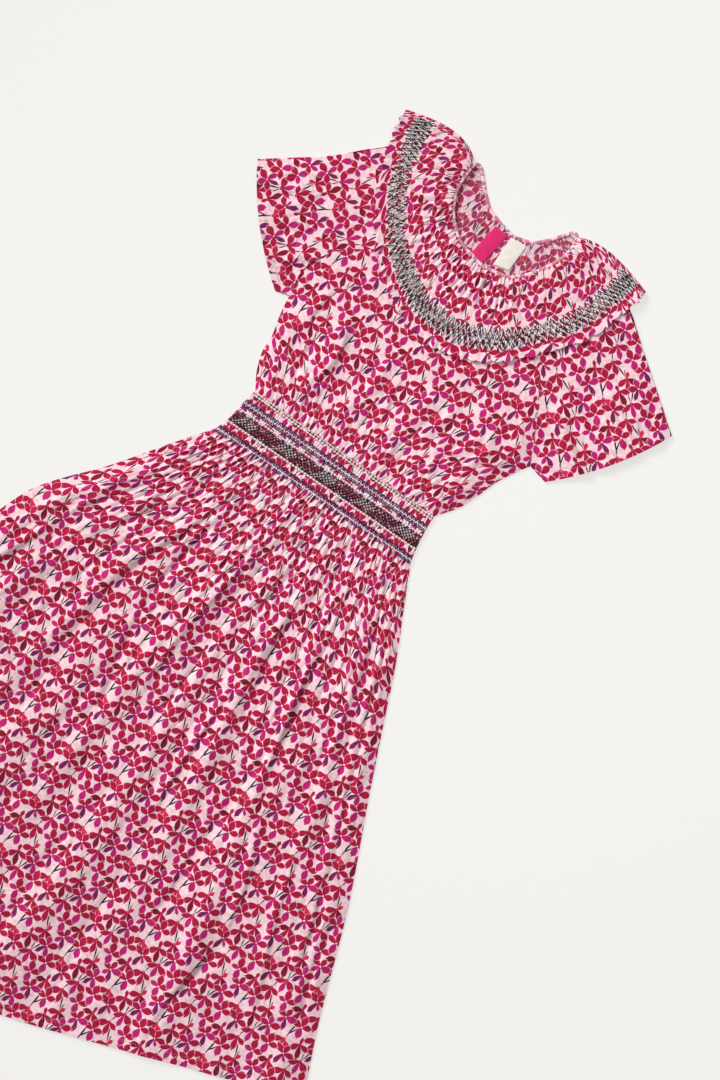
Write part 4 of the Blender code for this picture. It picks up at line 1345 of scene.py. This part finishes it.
def collar_threads(looks):
    """Nested and crossing rows of zigzag stitches round the smocked part of the collar."""
    made = []
    for colour, (width, lift) in COLLAR_THREAD.items():
        chance = np.random.default_rng(len(colour) + int(10 * width))
        starts, ends = [], []
        for kind, level, shift in COLLAR_ZIGZAGS:
            if kind != colour:
                continue
            at = np.arange(4 * ZIGZAGS + 1) / 4
            at = at + chance.uniform(-UNEVEN[0], UNEVEN[0], at.shape)
            wave = ZIGZAG_SWING * (4 * np.abs((at + shift) % 1 - 0.5) - 1)
            outward = level + wave + chance.uniform(-UNEVEN[1], UNEVEN[1], at.shape)
            turn = 0.3 + (COLLAR_ROWS - 0.6) * at / ZIGZAGS
            plan = collar_plan(COLLAR_FRONT, turn, outward, NECK_SHOWN, SHOULDER_BOW)
            line = raised(plan, COLLAR_UNDER + WALL + lift)
            ahead = np.diff(line, axis=0)
            starts.append(line[:-1] + 0.03 * ahead)
            ends.append(line[:-1] + 0.97 * ahead)
        made.append(stitches("collar_thread_" + colour, np.concatenate(starts),
                             np.concatenate(ends), (0, 0, 1), width, looks[colour],
                             "smocked_collar"))
    return made


# Trims


def make_binding(look):
    """The bound neck edge: one soft tube round the whole opening."""
    line = np.array(NECK_LINE + NECK_LINE[:2])
    line = np.concatenate([line[-3:-2], line])
    rows = np.concatenate([np.arange(len(line))[:, None] - 1.0, line], axis=1)
    along = np.arange(0, len(NECK_LINE), BINDING_STEP)
    middle = through(rows, along)
    ahead = through(rows, along + 0.05) - through(rows, along - 0.05)
    flat = unit(ahead[:, :2])
    side = np.stack([-flat[:, 1], flat[:, 0], 0 * flat[:, 0]], axis=1)
    angle = 2 * math.pi * np.arange(BINDING_SIDES) / BINDING_SIDES
    pucker = 1 + BINDING_PUCKER * np.sin(2 * math.pi * along * 2.5)
    ring = middle[:, None] + side[:, None] * (
        BINDING_WIDTH / 2 * np.cos(angle)[None, :, None] * pucker[:, None, None])
    ring[:, :, 2] += BINDING_HEIGHT / 2 * np.sin(angle)[None, :] * pucker[:, None]
    grid = np.arange(len(along) * BINDING_SIDES).reshape(len(along), BINDING_SIDES)
    on = np.roll(grid, -1, axis=0)
    faces = np.stack([grid, np.roll(grid, -1, 1), np.roll(on, -1, 1), on], -1).reshape(-1, 4)
    for_step, for_radian = BINDING_CLOTH
    uv = np.stack([np.broadcast_to(along[:, None] * for_step, grid.shape),
                   np.broadcast_to(angle * for_radian, grid.shape)], axis=-1)
    made = mesh_object("neck_edge", ring.reshape(-1, 3), faces[:, ::-1], uv.reshape(-1, 2), [look])
    return wear(made, "bound_edge", "neck_binding")


def make_patch(name, corners, node, slot, look, dome):
    """A small piece of cloth sewn flat to the inside of the back, a little full in the middle."""
    corners = np.array(corners, float)
    up, across = (np.linspace(0, 1, count) for count in PATCH_MESH)
    left = between(corners[0:1], corners[3:4], up)[0]
    right = between(corners[1:2], corners[2:3], up)[0]
    plan = between(left, right, across)
    u, v = across[None, :], up[:, None]
    edge = np.minimum(np.minimum(u, 1 - u) * 20, np.minimum(v, 1 - v) * 40)
    top = TRIM_BOTTOM + TRIM_THICKNESS - 0.5 * (1 - smooth(edge, 0, 1.2)) + dome * 4 * u * (1 - u)
    return panel(name, plan, top, TRIM_BOTTOM, plan, [look], slot, node)


def outline_stitches(corners, inset, pitch):
    """Running stitches just inside a four-cornered patch."""
    corners = np.array(corners, float)
    corners = corners + unit(corners.mean(axis=0) - corners) * inset * 1.4
    starts, ends = [], []
    for one, other in zip(corners, np.roll(corners, -1, axis=0)):
        count = int(np.linalg.norm(other - one) / pitch)
        for k in range(count):
            starts.append(one + (other - one) * (k + 0.15) / count)
            ends.append(one + (other - one) * (k + 0.8) / count)
    height = TRIM_BOTTOM + TRIM_THICKNESS
    return raised(np.array(starts), height), raised(np.array(ends), height)


# Floor, light and camera


def make_floor():
    """A wide sheet of pale paper under the dress."""
    line = np.linspace(-FLOOR_SIZE / 2, FLOOR_SIZE / 2, FLOOR_STEPS + 1)
    x, y = np.meshgrid(line, line)
    points = np.stack([x, y, np.full(x.shape, FLOOR_LEVEL)], axis=-1).reshape(-1, 3)
    faces = grid_faces(np.arange(len(points)).reshape(x.shape))
    mesh = bpy.data.meshes.new("floor")
    mesh.from_pydata(points, [], faces.tolist())
    paint = bpy.data.materials.new("floor_paper")
    paint.use_nodes = True
    surface = paint.node_tree.nodes["Principled BSDF"]
    surface.inputs["Base Color"].default_value = seen(FLOOR_SHADED)
    surface.inputs["Emission Color"].default_value = seen(FLOOR_GLOW)
    surface.inputs["Emission Strength"].default_value = FLOOR_STRENGTH
    surface.inputs["Roughness"].default_value = 0.95
    surface.inputs["Specular IOR Level"].default_value = 0.0
    mesh.materials.append(paint)
    placed("floor", mesh)


def make_light():
    """A broad soft sun from the side, a lamp over the neck and an even sky."""
    sun = bpy.data.lights.new("window", "SUN")
    sun.energy = SUN_POWER
    sun.angle = SUN_SPREAD
    placed("window", sun).rotation_euler = (0, math.pi / 2 - SUN_HEIGHT, SUN_HEADING)
    lamp = bpy.data.lights.new("lamp", "AREA")
    lamp.energy = LAMP_POWER
    lamp.size = LAMP_SIZE
    placed("lamp", lamp).location = LAMP_AT
    world = bpy.data.worlds.new("studio")
    world.use_nodes = True
    sky = world.node_tree.nodes["Background"].inputs
    sky["Color"].default_value = SKY_COLOUR
    sky["Strength"].default_value = SKY_POWER
    bpy.context.scene.world = world
    bpy.context.scene.view_settings.view_transform = "Standard"


def make_camera():
    """Straight above, turned so that the dress lies at a slant in the picture."""
    camera = bpy.data.cameras.new("camera")
    camera.lens = LENS
    camera.sensor_width = SENSOR
    made = placed("camera", camera)
    made.location = (*FRAME_MIDDLE, FRAME_HEIGHT * LENS / SENSOR)
    made.rotation_euler = (0, 0, DRESS_TURN)
    bpy.context.scene.camera = made


# The dress

# the wrong side of the print is duller and darkened with painted shade
fabric = [printed_cloth("printed_cotton"),
          printed_cloth("printed_cotton_reverse_painted_shade", REVERSE_FADE_AND_SHADE, REVERSE_DULL_SHADE)]
bias = printed_cloth("printed_bias", BIAS_FADE)
threads = {
    "white": thread("white_thread", THREAD_WHITE, 0.55),
    "black": thread("black_thread", THREAD_BLACK, 0.5),
    "navy": thread("navy_thread", THREAD_NAVY, 0.5),
    "purple": thread("purple_thread", THREAD_PURPLE, 0.5),
    "cross": thread("fine_white_thread", THREAD_WHITE, 0.55),
    "grey": thread("pale_thread", THREAD_PALE, 0.55),
}
facing_cloth = plain_cloth("hot_pink_cotton", HOT_PINK, 0.8 * MM, 0.75, 0.2)
label_cloth = plain_cloth("woven_tape", CREAM, 0.5 * MM, 0.6, 0.1)

skirt_front, skirt_back, skirt_hem = make_skirt(fabric)
band_front, band_back = make_band(fabric)
bodice_front, bodice_back = make_bodice(fabric)
sleeve_left, left_hem = make_sleeve("left", fabric)
sleeve_right, right_hem = make_sleeve("right", fabric)
collar_front, collar_back = make_collar(fabric)
band_stitching = band_threads(threads)
collar_stitching = collar_threads(threads)
neck_edge = make_binding(bias)
facing = make_patch("placket_cloth", FACING_CORNERS, "placket_facing", "facing_cloth",
                    facing_cloth, FACING_DOME)
label = make_patch("label_cloth", LABEL_CORNERS, "blank_label", "label_tape", label_cloth,
                   LABEL_DOME)
label_stitching = stitches("label_stitches", *outline_stitches(LABEL_CORNERS, *LABEL_STITCHES),
                           (0, 0, 1), LABEL_THREAD, threads["white"], "label_tape")

hem_thread = thread("pink_thread", THREAD_PINK, 0.6)
running_stitches("skirt_hem_stitches", skirt_hem, 1, HEM_THREAD, hem_thread, "printed_cloth")
running_stitches("left_cuff_stitches", left_hem[4:], 2, HEM_THREAD, hem_thread, "printed_cloth")
running_stitches("right_cuff_stitches", right_hem[4:], 2, HEM_THREAD, hem_thread, "printed_cloth")

make_floor()
make_light()
make_camera()
